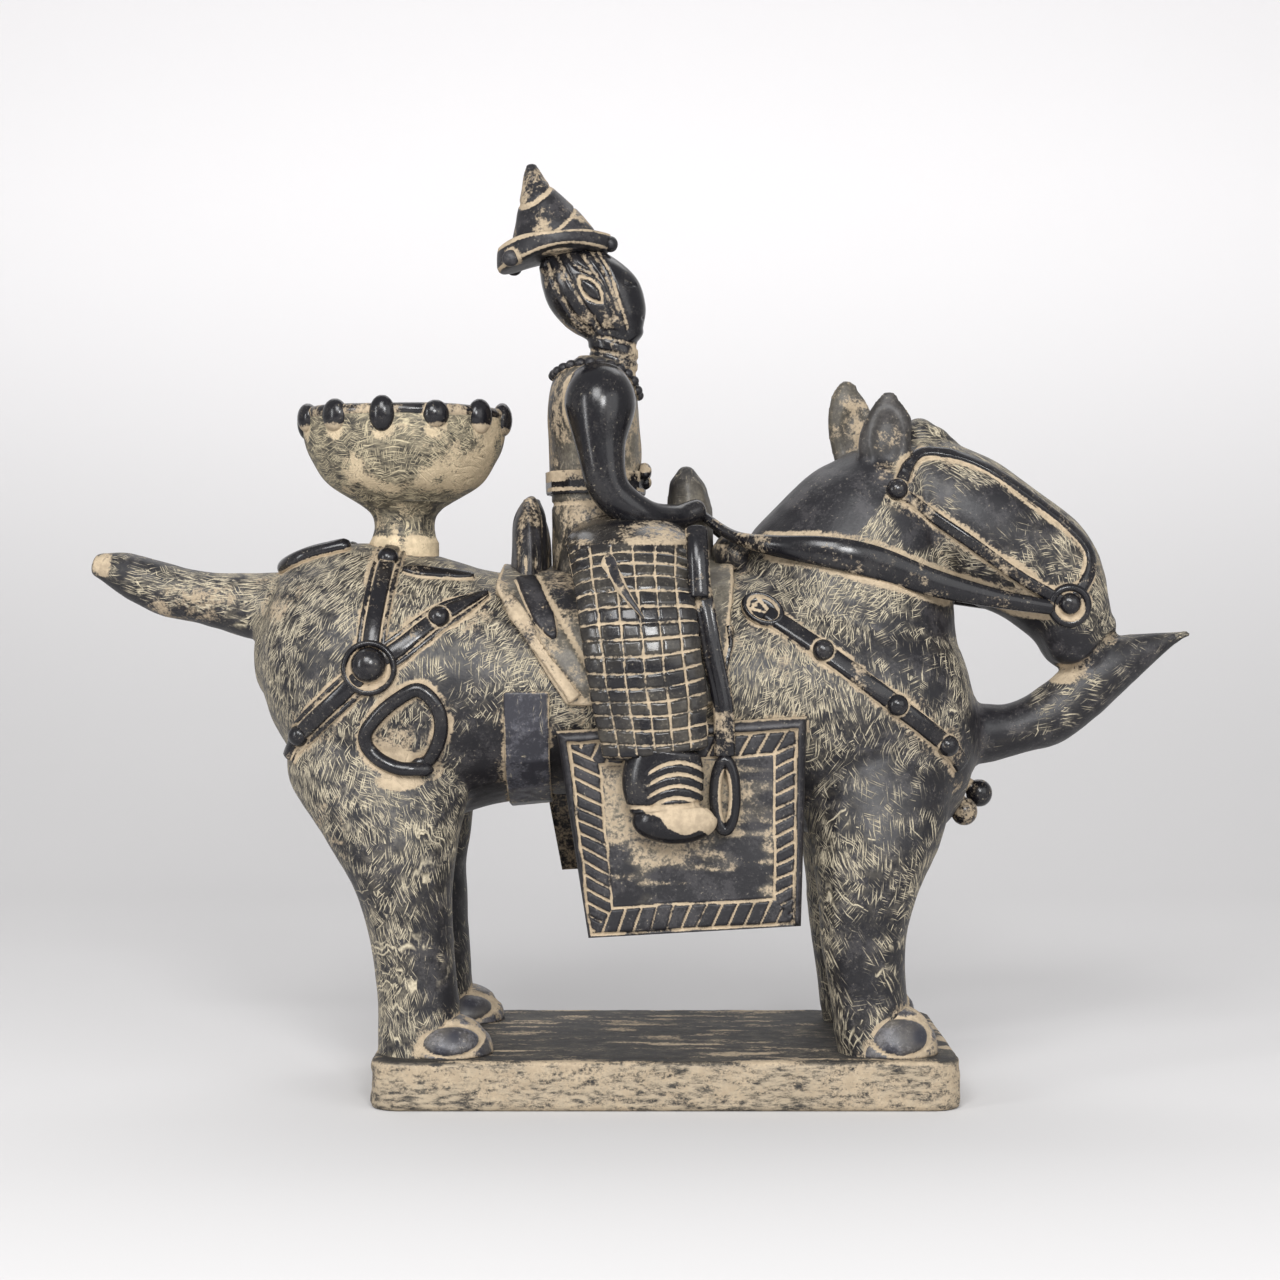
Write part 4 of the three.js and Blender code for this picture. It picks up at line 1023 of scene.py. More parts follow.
def boss(name, side, place, profile, groove, lean):
    """A ring with a domed middle and a pale groove between: the rosettes and the bit rings."""
    centre, normal = body_ground.side(*place, side)
    normal = leaning(normal, side, lean)
    points, faces = turned(profile, centre, normal, 56)
    off = points - centre
    radius = np.linalg.norm(np.cross(off, normal), axis=1)
    upward = unit(UP - normal * normal[2])
    points = moved_along(points, upward, 0.12 * groove * step(radius, groove + 0.3, groove - 0.3))
    low_half = step(off[:, 2], 1.5, -2.5)
    line = step(abs(radius - groove), 0.75 + 0.5 * low_half, 0.35)
    worn = layered(points, 0.75, (0.4, 4, 9)) + 0.3 * low_half
    wash = np.clip(line * worn + 0.7 * step(off @ normal, 0.5, -0.3), 0, 1)
    lay_burnished(sided(name, side), (points, faces), wash)


def oval_buckle(side):
    """A flat oval plate with a raised rim at the strap's upper end: its form and its wash."""
    centre, normal = body_ground.side(*BUCKLE, side)
    normal = leaning(normal, side, 0.5)
    points, faces = turned(BUCKLE_PROFILE, centre, normal, 72)
    slope = unit(BUCKLE_SLOPE - normal * (normal @ BUCKLE_SLOPE))
    flat = unit(np.cross(normal, slope))
    long, short = BUCKLE_STRETCH
    off = points - centre
    points = centre + np.outer(off @ slope, slope) * long
    points = points + np.outer(off @ flat, flat) * short + np.outer(off @ normal, normal)
    plan = np.column_stack([(points - centre) @ slope, (points - centre) @ flat])
    radius = np.hypot(plan[:, 0] / long, plan[:, 1] / short)
    rims = np.maximum(step(abs(radius - BUCKLE_GROOVE), 0.8, 0.3), step(radius, 6.0, 6.35))
    tongue = cut_lines(plan, [BUCKLE_TONGUE], 0.8, 0.3) * step(radius, 4.6, 4.2)
    mottled = step(radius, 4.2, 3.8) * patches(points, 0.6, 0.3, (0.6, 3, 10))
    return (points, faces), 0.9 * most(rims, tongue, mottled)


COIL_SIDES = 20
# The number of points over which a coil thins at either end
COIL_TAPER = 3.0


def coil_on_body(places, normals, gauge, squash):
    """A rolled coil lying on a surface, thinning at both ends."""
    tangent = unit(np.gradient(places, axis=0))
    across = unit(np.cross(normals, tangent))
    count = np.arange(len(places))
    sizes = np.sqrt(np.clip((np.minimum(count, count[::-1]) + 0.15) / COIL_TAPER, 0, 1))
    rings = [ring_at(p, a * gauge / 2 * k, n * gauge / 2 * squash * k, COIL_SIDES)
             for p, a, n, k in zip(places, across, normals, sizes)]
    return skin(rings)


RING_PATH = [
    (-73, 82.2), (-67.4, 84.8), (-63.9, 92.4), (-64.7, 99.4), (-70, 104.4), (-76.6, 101.4), (-82.3, 96.4),
    (-85.4, 91.2), (-83, 85.6), (-76.8, 82), (-71.4, 81.2), (-66.8, 81.6),
]


def hip_ring(side):
    """A rolled coil bent into a ring, its two ends lapped at the foot."""
    path = even(spline(RING_PATH, 12), 0.7)
    places, normals = body_ground.side_line(path, side)
    normals = unit(blurred(normals, 6))
    share = np.linspace(0, 1, len(path))
    places = moved_along(places, normals, 0.9 + 1.2 * step(share, 0.84, 0.93))
    form = coil_on_body(places, normals, gauge=4.1, squash=0.72)
    lay_burnished(sided("hip_ring", side), form, 0.95 * step(body_ground.away(form[0]), 1.1, 0.3))


CRUPPER = [(-92, -11), (-101, -11), (-109, -8.8), (-113, 0), (-109, 8.8), (-101, 11), (-92, 11)]


def crupper():
    """A coil round the root of the tail, along a line seen from above."""
    hits = [body_ground.ray((x, y, ABOVE), DOWN) for x, y in even(spline(CRUPPER, 12), 0.8)]
    normals = unit(blurred(np.array([hit[1] for hit in hits]), 8))
    places = blurred(np.array([hit[0] for hit in hits]), 4) + normals * 1.1
    form = coil_on_body(places, normals, gauge=5.2, squash=0.85)
    lay_burnished("crupper_loop", form, 0.9 * step(body_ground.away(form[0]), 1.3, 0.4))


# The middle of each bell, and the knot that it hangs from
BELLS = {-1: ((89.6, -2.5, 67), (85, -4, 78)), 1: ((95, 4.5, 72), (86, 3, 79))}
BELL_HALVES = (4.0, 4.0, 4.2)
BELL_SEAM = 5.2


def bell(side):
    """A pellet bell: a ball on a short neck that comes from the end of the breast straps."""
    (x, y, z), knot = BELLS[side]
    centre = np.array((x, y, z + BASE_TOP))
    middle = ((x + knot[0]) / 2 - 0.4, (y + knot[1]) / 2, (z + knot[2]) / 2)
    neck = roll([(*knot, 3.2, 3.0), (*middle, 2.2, 2.3), (x, y, z, 2.2, 2.2)], 24, 8)
    points, quads, _ = soft_skin([ellipsoid(centre, BELL_HALVES, 28), neck], 0.45)
    far = np.linalg.norm(points - centre, axis=1)
    seam = 0.8 * step(abs(far - BELL_SEAM), 1.4, 0.4) + 0.3 * noise(points, 3, 11) * step(far, 4, 6)
    laid.append(points[::3])
    burnished(sided("bell", side), (points, quads), np.clip(np.maximum(seam, rubbed(points, 0.3, 12)), 0, 1))


NECK_HALF = NECK_WIDTH / 2
HEAD_HALF = HEAD_WIDTH / 2
REIN_HALF = 2.0
# The reins: x, distance to the side, z and half-height
REIN = [
    (9, NECK_HALF * 0.17, 157, 1.4), (20, NECK_HALF * 0.4, 149, 1.8), (31, NECK_HALF * 0.66, 146, 3),
    (46, NECK_HALF * 0.83, 144, 4.4), (60, NECK_HALF * 0.83, 141, 4.8), (78, HEAD_HALF * 1.17, 135, 4),
    (97, HEAD_HALF * 0.95, 130.6, 2.8), (113, HEAD_HALF * 0.8, 128, 2.2),
]


def rein(side):
    points, faces = roll([(x, y * side, z, REIN_HALF, half) for x, y, z, half in REIN], 36, 10)
    on_neck = step(points[:, 0], 26, 34)
    seam = 0.95 * step(body_ground.away(points), 1.0, 0.2) * on_neck
    lay_burnished(sided("rein", side), (points, faces), np.maximum(seam, rubbed(points, 0.18, 39)))


for side in SIDES:
    tack("hip_strap", side, [HIP_LINE], EDGED_WIDTH, [HIP_STUD], profile=EDGED_STRAP)
    tack("side_strap", side, [SIDE_LINE], EDGED_WIDTH, [SIDE_STUD], taper=(0.3, 0.0), profile=EDGED_STRAP)
    tack("breech_strap", side, [BREECH_LINE], EDGED_WIDTH, [BREECH_STUD], profile=EDGED_STRAP)
    tack("breast_strap", side, [BREAST_LINE], STRAP_WIDTH, BREAST_STUDS, more=[oval_buckle(side)])
    tack("bridle_strap", side, [CHEEK_LINE, FACE_LINE], BRIDLE_WIDTH, [TEMPLE], BRIDLE_HEIGHT)
    boss("rosette", side, ROSETTE, ROSETTE_PROFILE, ROSETTE_GROOVE, 0.6)
    boss("bit_ring", side, BIT, BIT_PROFILE, BIT_GROOVE, 0.8)
    hip_ring(side)
    rein(side)
crupper()
for side in SIDES:
    bell(side)


# The saddle

# The corners of the right cloth in the side view: top back, top front, foot front and foot back
CLOTH_OUTLINE = [(-31, 92.8), (40, 97), (38.3, 37.6), (-21.9, 34.2)]
LEFT_CLOTH_BACK_BY = 10
LEFT_CLOTH_SHORT_BY = 11
CLOTH_BACK = 40.0
CLOTH_FACE = 44.5
CLOTH_COLUMNS = 190
CLOTH_ROWS = 170
# The rim's width at both ends of each edge, and the width of the border inside it
CLOTH_RIMS = {"left": (3.4, 1.0), "right": (3.2, 2.6), "top": (3.6, 3.6), "foot": (0.9, 1.0)}
CLOTH_BORDERS = {"left": 8.0, "right": 6.4, "top": 6.6, "foot": 7.4}
HATCH_GAP = 4.2
HATCH_PITCHES = [HATCH_GAP * share for share in (0.95, 0.95, 1.15, 1.25)]


class Sheet:
    """A grid of points over a saddle cloth, with their shares and lengths across and down."""

    def __init__(self, side):
        corners = np.array(CLOTH_OUTLINE, float)
        if side > 0:
            corners[:, 0] -= LEFT_CLOTH_BACK_BY
            corners[2:, 1] += LEFT_CLOTH_SHORT_BY
        width = np.linalg.norm(corners[1] - corners[0])
        height = np.linalg.norm(corners[3] - corners[0])
        u, v = np.meshgrid(np.linspace(0, 1, CLOTH_COLUMNS), np.linspace(0, 1, CLOTH_ROWS))
        self.u = u.ravel()
        self.v = v.ravel()
        self.across = self.u * width
        self.down = self.v * height
        self.gaps = {"left": self.across, "right": (1 - self.u) * width,
                     "top": self.down, "foot": (1 - self.v) * height}
        top = corners[0] + np.outer(self.u, corners[1] - corners[0])
        foot = corners[3] + np.outer(self.u, corners[2] - corners[3])
        flat = top + (foot - top) * self.v[:, None]
        self.points = np.column_stack([flat[:, 0], np.zeros(len(flat)), flat[:, 1]])

    def at_depth(self, y):
        """The points at given places across the horse."""
        points = self.points + (0, 0, BASE_TOP)
        points[:, 1] = y
        return points


def cloth_borders(sheet):
    """How far points lie inside the rim and inside the border, and the number of the nearest edge."""
    along = {"left": sheet.v, "right": sheet.v, "top": sheet.u, "foot": sheet.u}
    wobble = layered(sheet.points, 0.0, (0.3, 11, 21), (0.2, 4, 22))
    inset = []
    depth = []
    for edge_name, gap in sheet.gaps.items():
        one, two = CLOTH_RIMS[edge_name]
        inset.append(gap - one - (two - one) * along[edge_name] + wobble)
        depth.append(inset[-1] - CLOTH_BORDERS[edge_name])
    return least(*inset), least(*depth), np.argmin(depth, axis=0)


def hatching(sheet, edge_at):
    """1 on slanted cuts, which lean their own way along each edge."""
    slants = (sheet.down - sheet.across * 0.55, sheet.down + sheet.across * 0.42,
              sheet.across + sheet.down * 0.62, sheet.across + sheet.down * 0.55)
    pitch = np.choose(edge_at, HATCH_PITCHES)
    phase = (np.choose(edge_at, slants) + 0.5 * noise(sheet.points, 9, 23)) / pitch
    return step(abs(phase - np.round(phase)) * pitch, 0.65, 0.28)


def cloth_wash(sheet, cut, field):
    """The pale wash in the cuts and smeared on the field, and the haze on the field."""
    at = sheet.points
    patch = layered(at, 0.0, (0.5, 15, 25), (0.4, 6, 26)) + 0.2 * noise(at * (0.4, 1, 1.6), 3, 27)
    streak = noise(at * (0.22, 1, 1.5), 3, 29)
    dark_third = step(sheet.v, 0.52, 0.78)
    smear = np.clip(0.52 + 0.8 * patch + (0.2 + 0.5 * dark_third) * streak - 0.3 * dark_third, 0, 0.62)
    haze = np.clip(0.14 + 0.4 * patch + 0.16 * streak - 0.12 * dark_third, 0.0, 0.5)
    worn = layered(at, 0.85, (0.4, 5, 28)) * cut
    top_edge = 0.8 * step(sheet.down, 1.1, 0.2)
    return np.clip(most(worn, top_edge, field * smear), 0, 1), field * haze


def grid_edge(rows, columns):
    """The points round the edge of a grid, in turn."""
    last = (rows - 1) * columns
    edge = list(range(columns)) + [row * columns + columns - 1 for row in range(1, rows)]
    edge += [last + k for k in range(columns - 2, -1, -1)]
    return edge + [row * columns for row in range(rows - 2, 0, -1)]


def cloth_faces(edge, side):
    """The front, the thin sides and the flat back, which has points of its own behind the edge."""
    front = [(a, d, c, b) for a, b, c, d in grid_faces(CLOTH_ROWS, CLOTH_COLUMNS)]
    count = CLOTH_ROWS * CLOTH_COLUMNS
    back = tuple(range(count, count + len(edge)))
    behind = dict(zip(edge, back))
    sides = [(a, b, behind[b], behind[a]) for a, b in zip(edge, edge[1:] + edge[:1])]
    faces = [*front, *sides, back]
    return faces if side < 0 else [face[::-1] for face in faces]


def cloth(side):
    """A clay saddle cloth: a rounded rim, a border of slanted cuts between two lines, and a smooth field."""
    sheet = Sheet(side)
    inside, inner, edge_at = cloth_borders(sheet)
    border = step(inside, 0, 0.3) * step(inner, 0, -0.3)
    cut = most(step(abs(inside), 0.7, 0.3), step(abs(inner), 0.6, 0.25), hatching(sheet, edge_at) * border)
    rim = step(inside, 0.2, -0.8)
    field = step(inner, 0, 0.8)
    face = CLOTH_FACE - 0.6 + 1.2 * rim - 0.75 * cut - 0.4 * field + 0.3 * noise(sheet.points, 13, 24) * field
    rounding = 1 - np.clip(least(*sheet.gaps.values()) / 2.6, 0, 1)
    face -= 3.4 * (1 - np.sqrt(np.clip(1 - rounding ** 2, 0, 1)))
    wash, haze = cloth_wash(sheet, cut, field)
    edge = grid_edge(CLOTH_ROWS, CLOTH_COLUMNS)
    points = np.vstack([sheet.at_depth(side * face), sheet.at_depth(side * CLOTH_BACK)[edge]])
    wash = np.concatenate([wash, np.full(len(edge), 0.5)])
    haze = np.concatenate([haze, np.zeros(len(edge))])
    form = (points, cloth_faces(edge, side))
    put(sided("saddle_cloth", side), form, COMBED, "clay", wash=wash, haze=haze, comb=0.0)
    laid.append(points[::7])


PAD_EDGE = [(-47, 176), (-49, 133), (-37, 114), (-28, 100), (14, 100), (18, 118), (21, 144), (21, 176)]
PAD_LINES = [[(-44, 128), (-33, 113), (-23, 101)], [(-37, 137), (-26, 118), (-17, 103)]]
PAD_AXIS = (0, 0, 70)
POMMEL_FOOT = 146


def saddle_pad():
    """The pad with its two cut lines and its pommel; gives the surface that bands are laid on."""
    points, quads, graph = soft_skin([cad_form("saddle_pad")], 0.8, 6)
    points = graph.relax(points, 6, keep=False)
    flat = side_view(points)
    normals = point_normals(points, quads)
    lines = cut_lines(flat, PAD_LINES, 1.3, 0.5)
    outside = step(dots(normals, unit(points - PAD_AXIS) * (0, 1, 1)), 0.1, 0.5)
    points = moved_along(points, normals, -0.8 * lines * outside + 0.3 * noise(points, 12, 31))
    smear = patches(points, 0.6, 0.42, (0.5, 13, 32), (0.3, 6, 33))
    wash = most(0.95 * lines, 0.9 * cut_lines(flat, [PAD_EDGE], 1.8, 0.7), smear)
    wash = np.where(flat[:, 1] > POMMEL_FOOT, 0.45 * smear, wash)
    haze = patches(points, 0.4, 0.16, (0.25, 10, 34))
    put("saddle_pad", (points, quads), COMBED, "clay", wash=wash, haze=haze, comb=0.35,
        flow=(0.5, 0.0, 0.86))
    laid.append(points[::5])
    return Ground(points, quads)


GIRTH_EDGES = (-46, -33)
GIRTH_TOP = 104


def girth():
    """The girth, streaked from top to foot, with pale edges; its lighter grey-blue tone and its pale vertical
    strokes are a painted sheen.
    """
    points, quads, _ = soft_skin([cad_form("girth")], 0.7, 6)
    edge = least(*(abs(points[:, 0] - x) for x in GIRTH_EDGES))
    streak = noise(points * (2.2, 1, 0.16), 2, 41)
    points = moved_along(points, point_normals(points, quads), 0.12 * streak)
    top = abs(points[:, 2] - BASE_TOP - GIRTH_TOP)
    pale = np.maximum(step(edge, 0.7, 0.2), step(top, 1.2, 0.3))
    wash = np.clip(layered(points, 0.7, (0.5, 6, 42)) * pale, 0, 1)
    # The vertical comb strokes on the girth are painted streaks of sheen.
    put("girth", (points, quads), GREY_BLUE_AND_SHEEN_CLAY, "burnished_clay", wash=wash,
        comb=np.clip(0.3 + 0.3 * streak, 0, 1), flow=(0.05, 0.0, 1.0))
    laid.append(points[::5])


CANTLE_WIDTH = 36
FLUTE_GAP = 3.4


def cantle():
    """The saddle's back rest, fluted from top to foot."""
    points, faces = loft(CANTLE, CANTLE_WIDTH, 160, 26, (1, 1.5))
    waver = 1.1 * noise(points * (1, 1, 0.35), 5, 44)
    flutes = np.cos((points[:, 0] + 0.3 * points[:, 1] + waver) * TURN / FLUTE_GAP)
    points = moved_along(points, point_normals(points, faces), 0.28 * flutes)
    worn = patches(points * (1, 1, 0.4), 0.52, 0.34, (0.5, 4, 43))
    wash = np.maximum(layered(points, 0.45, (0.6, 5, 45)) * step(flutes, -0.35, -0.9), worn)
    put("cantle", (points, faces), COMBED, "clay", wash=np.clip(wash, 0, 1), comb=0.3,
        flow=(0.0, 0.1, 1.0))


WITHERS = (21.0, 0.0, 143.0)
WITHERS_HALVES = (7.0, 13.0, 7.5)


def withers():
    """The web of clay between the saddle and the neck."""
    points, faces = ellipsoid(np.array(WITHERS) + (0, 0, BASE_TOP), WITHERS_HALVES, 64)
    out = unit(points - points.mean(0))
    points = moved_along(points, out, layered(points, 0.0, (0.5, 5, 46), (0.25, 2, 47)))
    wash = patches(points, 0.65, 0.34, (0.5, 6, 48), (0.3, 2.5, 49))
    put("withers_web", (points, faces), COMBED, "clay", wash=wash, comb=0.5, flow=(0.3, 0.0, 0.95))


# The stirrup strap: x, distance in from the side and z
STIRRUP_STRAP = [(9, 6, 139), (11, 1.4, 127), (13.5, 0, 113), (16, 0, 101), (16.6, 0, 86.5)]
STIRRUP_STRAP_SIDE = 46.3
STIRRUP_STRAP_HALVES = (3.0, 1.8)
STIRRUP = (16.6, 75)
STIRRUP_SIDE = 46.5
STIRRUP_HALVES = (4.5, 11.5)
STIRRUP_INNER = (2.8, 9.8)
STIRRUP_GAUGE = 1.7
STIRRUP_STEPS = 72
# The keeper: x, z and the two half-sizes
KEEPER = (9.0, 140.5, 3.2, 9.4)


def stirrup_strap(side):
    """A rolled strap with a groove along each edge."""
    rows = [(x, side * (STIRRUP_STRAP_SIDE - inset), z, *STIRRUP_STRAP_HALVES)
            for x, inset, z in STIRRUP_STRAP]
    points, faces = roll(rows, 32, 14, facing=(1, 0, 0))
    xs, _, heights = zip(*STIRRUP_STRAP[::-1])
    off = abs(points[:, 0] - np.interp(points[:, 2] - BASE_TOP, heights, xs))
    points[:, 1] -= side * 0.35 * step(abs(off - 1.5), 0.6, 0.2)
    wash = np.maximum(0.55 * step(off, 2.3, 3.0), rubbed(points, 0.26, 35))
    burnished(sided("stirrup_strap", side), (points, faces), wash)


def stirrup(side):
    """An oval ring of rolled clay."""
    turn = np.linspace(0, TURN, STIRRUP_STEPS, endpoint=False)
    half_x, half_z = STIRRUP_HALVES
    x = STIRRUP[0] + (half_x - STIRRUP_GAUGE) * np.cos(turn)
    z = STIRRUP[1] + BASE_TOP + (half_z - STIRRUP_GAUGE) * np.sin(turn)
    places = np.column_stack([x, np.full(STIRRUP_STEPS, side * STIRRUP_SIDE), z])
    out = unit(np.column_stack([np.cos(turn) * half_z, np.zeros(STIRRUP_STEPS), np.sin(turn) * half_x]))
    thick = np.array((0, STIRRUP_GAUGE, 0))
    rings = [ring_at(p, o * STIRRUP_GAUGE, thick, 20) for p, o in zip(places, out)]
    points, faces = skin(rings, closed=True)
    off = (side_view(points) - STIRRUP) / STIRRUP_INNER
    wash = 0.9 * step(np.hypot(off[:, 0], off[:, 1]), 0.86, 0.7)
    burnished(sided("stirrup", side), (points, faces), wash)


def keeper(side):
    """The block at the top of the stirrup strap."""
    x, z, half_x, half_z = KEEPER
    rows = [(x - 0.4, side * 40.5, z + half_z, half_x, 2.4), (x, side * 44.0, z + 2, half_x, 2.6),
            (x + 0.6, side * 46.0, z - half_z, half_x, 2.4)]
    points, faces = roll(rows, 40, 10, (0.8, 0.8), (1, 0, 0))
    edges = 0.6 * step(abs(points[:, 0] - x), half_x - 0.5, half_x)
    burnished(sided("stirrup_keeper", side), (points, faces), np.maximum(edges, rubbed(points, 0.24, 37)))


# The rider

# The trousers: x, distance in from the side, z and half-width
TROUSER = [
    (-11, 37, 149, 16.5), (-10, 19, 144, 18.5), (-8.5, 5, 131, 17.4), (-6.8, 0, 116, 17),
    (-4.6, 0, 101, 16.6), (-3, 0, 87.5, 15.4),
]
TROUSER_DEPTH = 7
TROUSER_SIDES = 220
LAP = 48.5
LAP_EDGE = 145.2
CHECK_COLUMNS = 6
CHECK_ROW = 4.1


def net_of_cuts(rings):
    """1 on a net of cuts over the rings of a trouser leg."""
    centre = rings.mean(1)
    off = rings[:, :, 0] - centre[:, None, 0]
    half = np.abs(off).max(1)
    share = off / np.maximum(half, 1)[:, None]
    down = run_along(centre)[:, None] + 1.1 * share ** 2 - 0.9 * share
    points = rings.reshape(-1, 3)
    column = layered(points, (share * 0.5 + 0.5).ravel() * CHECK_COLUMNS, (0.09, 12, 51), (0.04, 4, 52))
    row = layered(points, down.ravel() / CHECK_ROW, (0.1, 14, 53))
    off_column = abs(column - np.round(column)) * 2 * half.repeat(TROUSER_SIDES) / CHECK_COLUMNS
    off_row = abs(row - np.round(row)) * CHECK_ROW
    return np.maximum(step(off_column, 0.52, 0.2), step(off_row, 0.52, 0.2))


def trouser(side):
    """A trouser leg with a net of cuts below the lap; gives the surface that the sash is laid on."""
    rows = [(x, side * (LAP - inset), z, half, TROUSER_DEPTH) for x, inset, z, half in TROUSER]
    points, faces = roll(rows, TROUSER_SIDES, 34, (1, 2), (1, 0, 0))
    on_rings = points[:-2]
    lap = step(on_rings[:, 2] - BASE_TOP, LAP_EDGE - 0.4, LAP_EDGE + 0.4)
    cut = net_of_cuts(on_rings.reshape(-1, TROUSER_SIDES, 3)) * (1 - lap)
    cut = np.concatenate([cut, [0, 0]])
    lap = np.concatenate([lap, [1, 1]])
    points = moved_along(points, point_normals(points, faces), 0.6 * lap - 0.7 * cut)
    hem = step(abs(points[:, 2] - BASE_TOP - LAP_EDGE - 1), 1.6, 0.8)
    smear = lap * patches(points, 0.75, 0.28 + 0.35 * hem, (0.55, 9, 55), (0.3, 4, 56))
    wash = np.clip(np.maximum(cut * layered(points, 0.85, (0.35, 6, 54)), smear), 0, 1)
    haze = patches(points, 0.2, 0.04, (0.07, 5, 59))
    put(sided("trouser", side), (points, faces), BURNISHED, "clay", wash=wash, haze=haze, comb=0.0)
    return Ground(points, faces)


SASH = [(-16.8, 143.6), (-14.6, 137.5), (-11, 131), (-5.6, 124)]
SASH_HALF = 2.9


def sash_end(side, ground):
    """The pointed end of the rider's sash: a smooth blade with pale edges on the thigh."""
    path = even(spline(SASH, 12), 0.6)
    places, normals = ground.side_line(path, side)
    normals = unit(blurred(normals, 30))
    places = blurred(places, 12) + normals * 0.3
    across = unit(np.cross(normals, np.gradient(places, axis=0)))
    share = np.linspace(0, 1, len(path))
    half = SASH_HALF * np.sqrt(np.clip(share / 0.15, 0.02, 1)) * np.clip(1.02 - share, 0.02, 1) ** 0.75
    reaches = np.linspace(-1, 1, 13)
    points = np.vstack([moved_along(places, across, half * reach) + normals * (1.5 * (1 - reach ** 4) - 0.8)
                        for reach in reaches])
    faces = outward(points, grid_faces(len(reaches), len(path)), ground)
    edges = np.repeat(np.where(abs(reaches) > 0.6, 0.95, 0.35), len(path))
    wash = patches(points, 1, edges, (0.2, 3, 57))
    put(sided("sash_end", side), (points, faces), COMBED, "clay", wash=wash, comb=0.0)


# The ankle: x, z and half-width
ANKLE = [(-0.2, 87.5, 10), (-0.6, 83, 11.2), (-0.8, 78, 11.5), (0.2, 72, 10.4)]
ANKLE_DEPTH = 6
FOOT = (2.4, 68)
FOOT_HALVES = (12, 6.2, 6.5)
BOOT_MIDDLE = 49.5
BOOT_STRIPES = (-5.0, -1.7, 1.6, 4.9)


def boot(side):
    """A boot with arched stripes over the ankle and a pale shoe."""
    rows = [(x, side * BOOT_MIDDLE, z, half, ANKLE_DEPTH) for x, z, half in ANKLE]
    foot = ellipsoid((FOOT[0], side * BOOT_MIDDLE, FOOT[1] + BASE_TOP), FOOT_HALVES, 56)
    points, quads, _ = soft_skin([roll(rows, 48, 10, facing=(1, 0, 0)), foot], 0.42)
    x, z = side_view(points).T
    arch = z - 79.5 + 0.045 * (x - 2) ** 2 - 0.12 * x
    stripes = most(*(step(abs(arch - height), 0.85, 0.35) for height in BOOT_STRIPES))
    stripes *= step(x, -6.5, -3.5)
    seam = step(abs(z - 72.6 - 0.05 * (x - 4)), 1.0, 0.3)
    points = moved_along(points, point_normals(points, quads), -0.55 * stripes - 0.7 * seam)
    sole = 66.5 - 0.42 * (x - 2) + 2.2 * noise(points, 5, 61)
    shoe = step(z, 72.8, 72.0) * step(z, sole, sole + 1.2)
    burnished(sided("boot", side), (points, quads), most(stripes, seam, 0.95 * shoe))


# The arm: x, distance out from the shoulder, z and half-width
ARM = [
    (-19.5, -4, 194, 8.4), (-18.9, 1, 187, 10.4), (-18.6, 4, 174, 7.1), (-15.9, 4, 162, 5.9),
    (-6.4, 1, 154.8, 4.9), (3, -7.5, 154.4, 3.9), (9.5, -11.5, 156.6, 3.5),
]
SHOULDER = 21.0


def arm(side):
    """A rolled arm, pale on its inner side; gives its points."""
    rows = [(x, side * (SHOULDER + out), z, half, half) for x, out, z, half in ARM]
    points, faces = roll(rows, 44, 12, (3, 2.5))
    inner = step(side * points[:, 1], 20, 14) * step(points[:, 0], 2, -4)
    burnished(sided("rider_arm", side), (points, faces), 0.8 * inner)
    return points


TORSO_WIDTH = 40
COAT_HEM = 158.6
FOLD_GAP = 6.5


def torso(arms):
    """The coat: worn all over, with a pale line round each arm and a cut hem under the belt."""
    points, faces = loft(TORSO, TORSO_WIDTH, 150, 22, (1, 1))
    x, z = side_view(points).T
    hem = step(abs(z - COAT_HEM), 1.0, 0.4)
    folds = step(np.cos((x - 0.25 * (z - 140)) * TURN / FOLD_GAP), 0.75, 1) * step(z, 158, 156)
    relief = 0.25 * noise(points, 7, 74) - 0.5 * hem - 0.5 * folds
    points = moved_along(points, point_normals(points, faces), relief)
    seam = layered(points, 0.85, (0.4, 6, 75)) * step(point_gaps(points, arms), 3.6, 2.2)
    worn = layered(points, 0.36, (0.45, 10, 71), (0.35, 4, 72)) + 0.16 * step(z, 162, 156)
    wash = np.clip(most(0.85 * hem, 0.6 * folds, np.clip(worn, 0, 0.62), seam), 0, 1)
    haze = patches(points, 0.4, 0.14, (0.25, 9, 73))
    put("rider_torso", (points, faces), COMBED, "clay", wash=wash, haze=haze, comb=0.35,
        flow=(0.2, 0.0, 1.0))
    return Ground(points, faces)


COLLAR_CENTRE = (-20.5, 0.0)
COLLAR_HALVES = (12.3, 13.8)
BEADS = 26
BEAD_HALVES = (1.75, 1.75, 1.6)


def collar(ground):
    """A string of clay beads round the neck of the coat."""
    forms = []
    washes = []
    for k in range(BEADS):
        turn = TURN * k / BEADS
        x = COLLAR_CENTRE[0] + COLLAR_HALVES[0] * math.cos(turn)
        y = COLLAR_CENTRE[1] + COLLAR_HALVES[1] * math.sin(turn)
        place, normal = ground.ray((x, y, ABOVE), DOWN)
        bead = ellipsoid(place + normal * 0.3, BEAD_HALVES, 18)
        forms.append(bead)
        washes.append(0.9 * step((bead[0] - place) @ normal, 0.7, -0.2))
    put("coat_collar", together(*forms), COMBED, "clay", wash=np.concatenate(washes), comb=0.0)


# The lumps of the bow: y, z, half-length and tilt
KNOT_LUMPS = ((-4.2, 168.6, 3.6, 0.5), (4.2, 168.6, 3.6, -0.5), (0, 165.4, 2.2, 0))
KNOT_HALF = 2.2
KNOT_X = -6.0


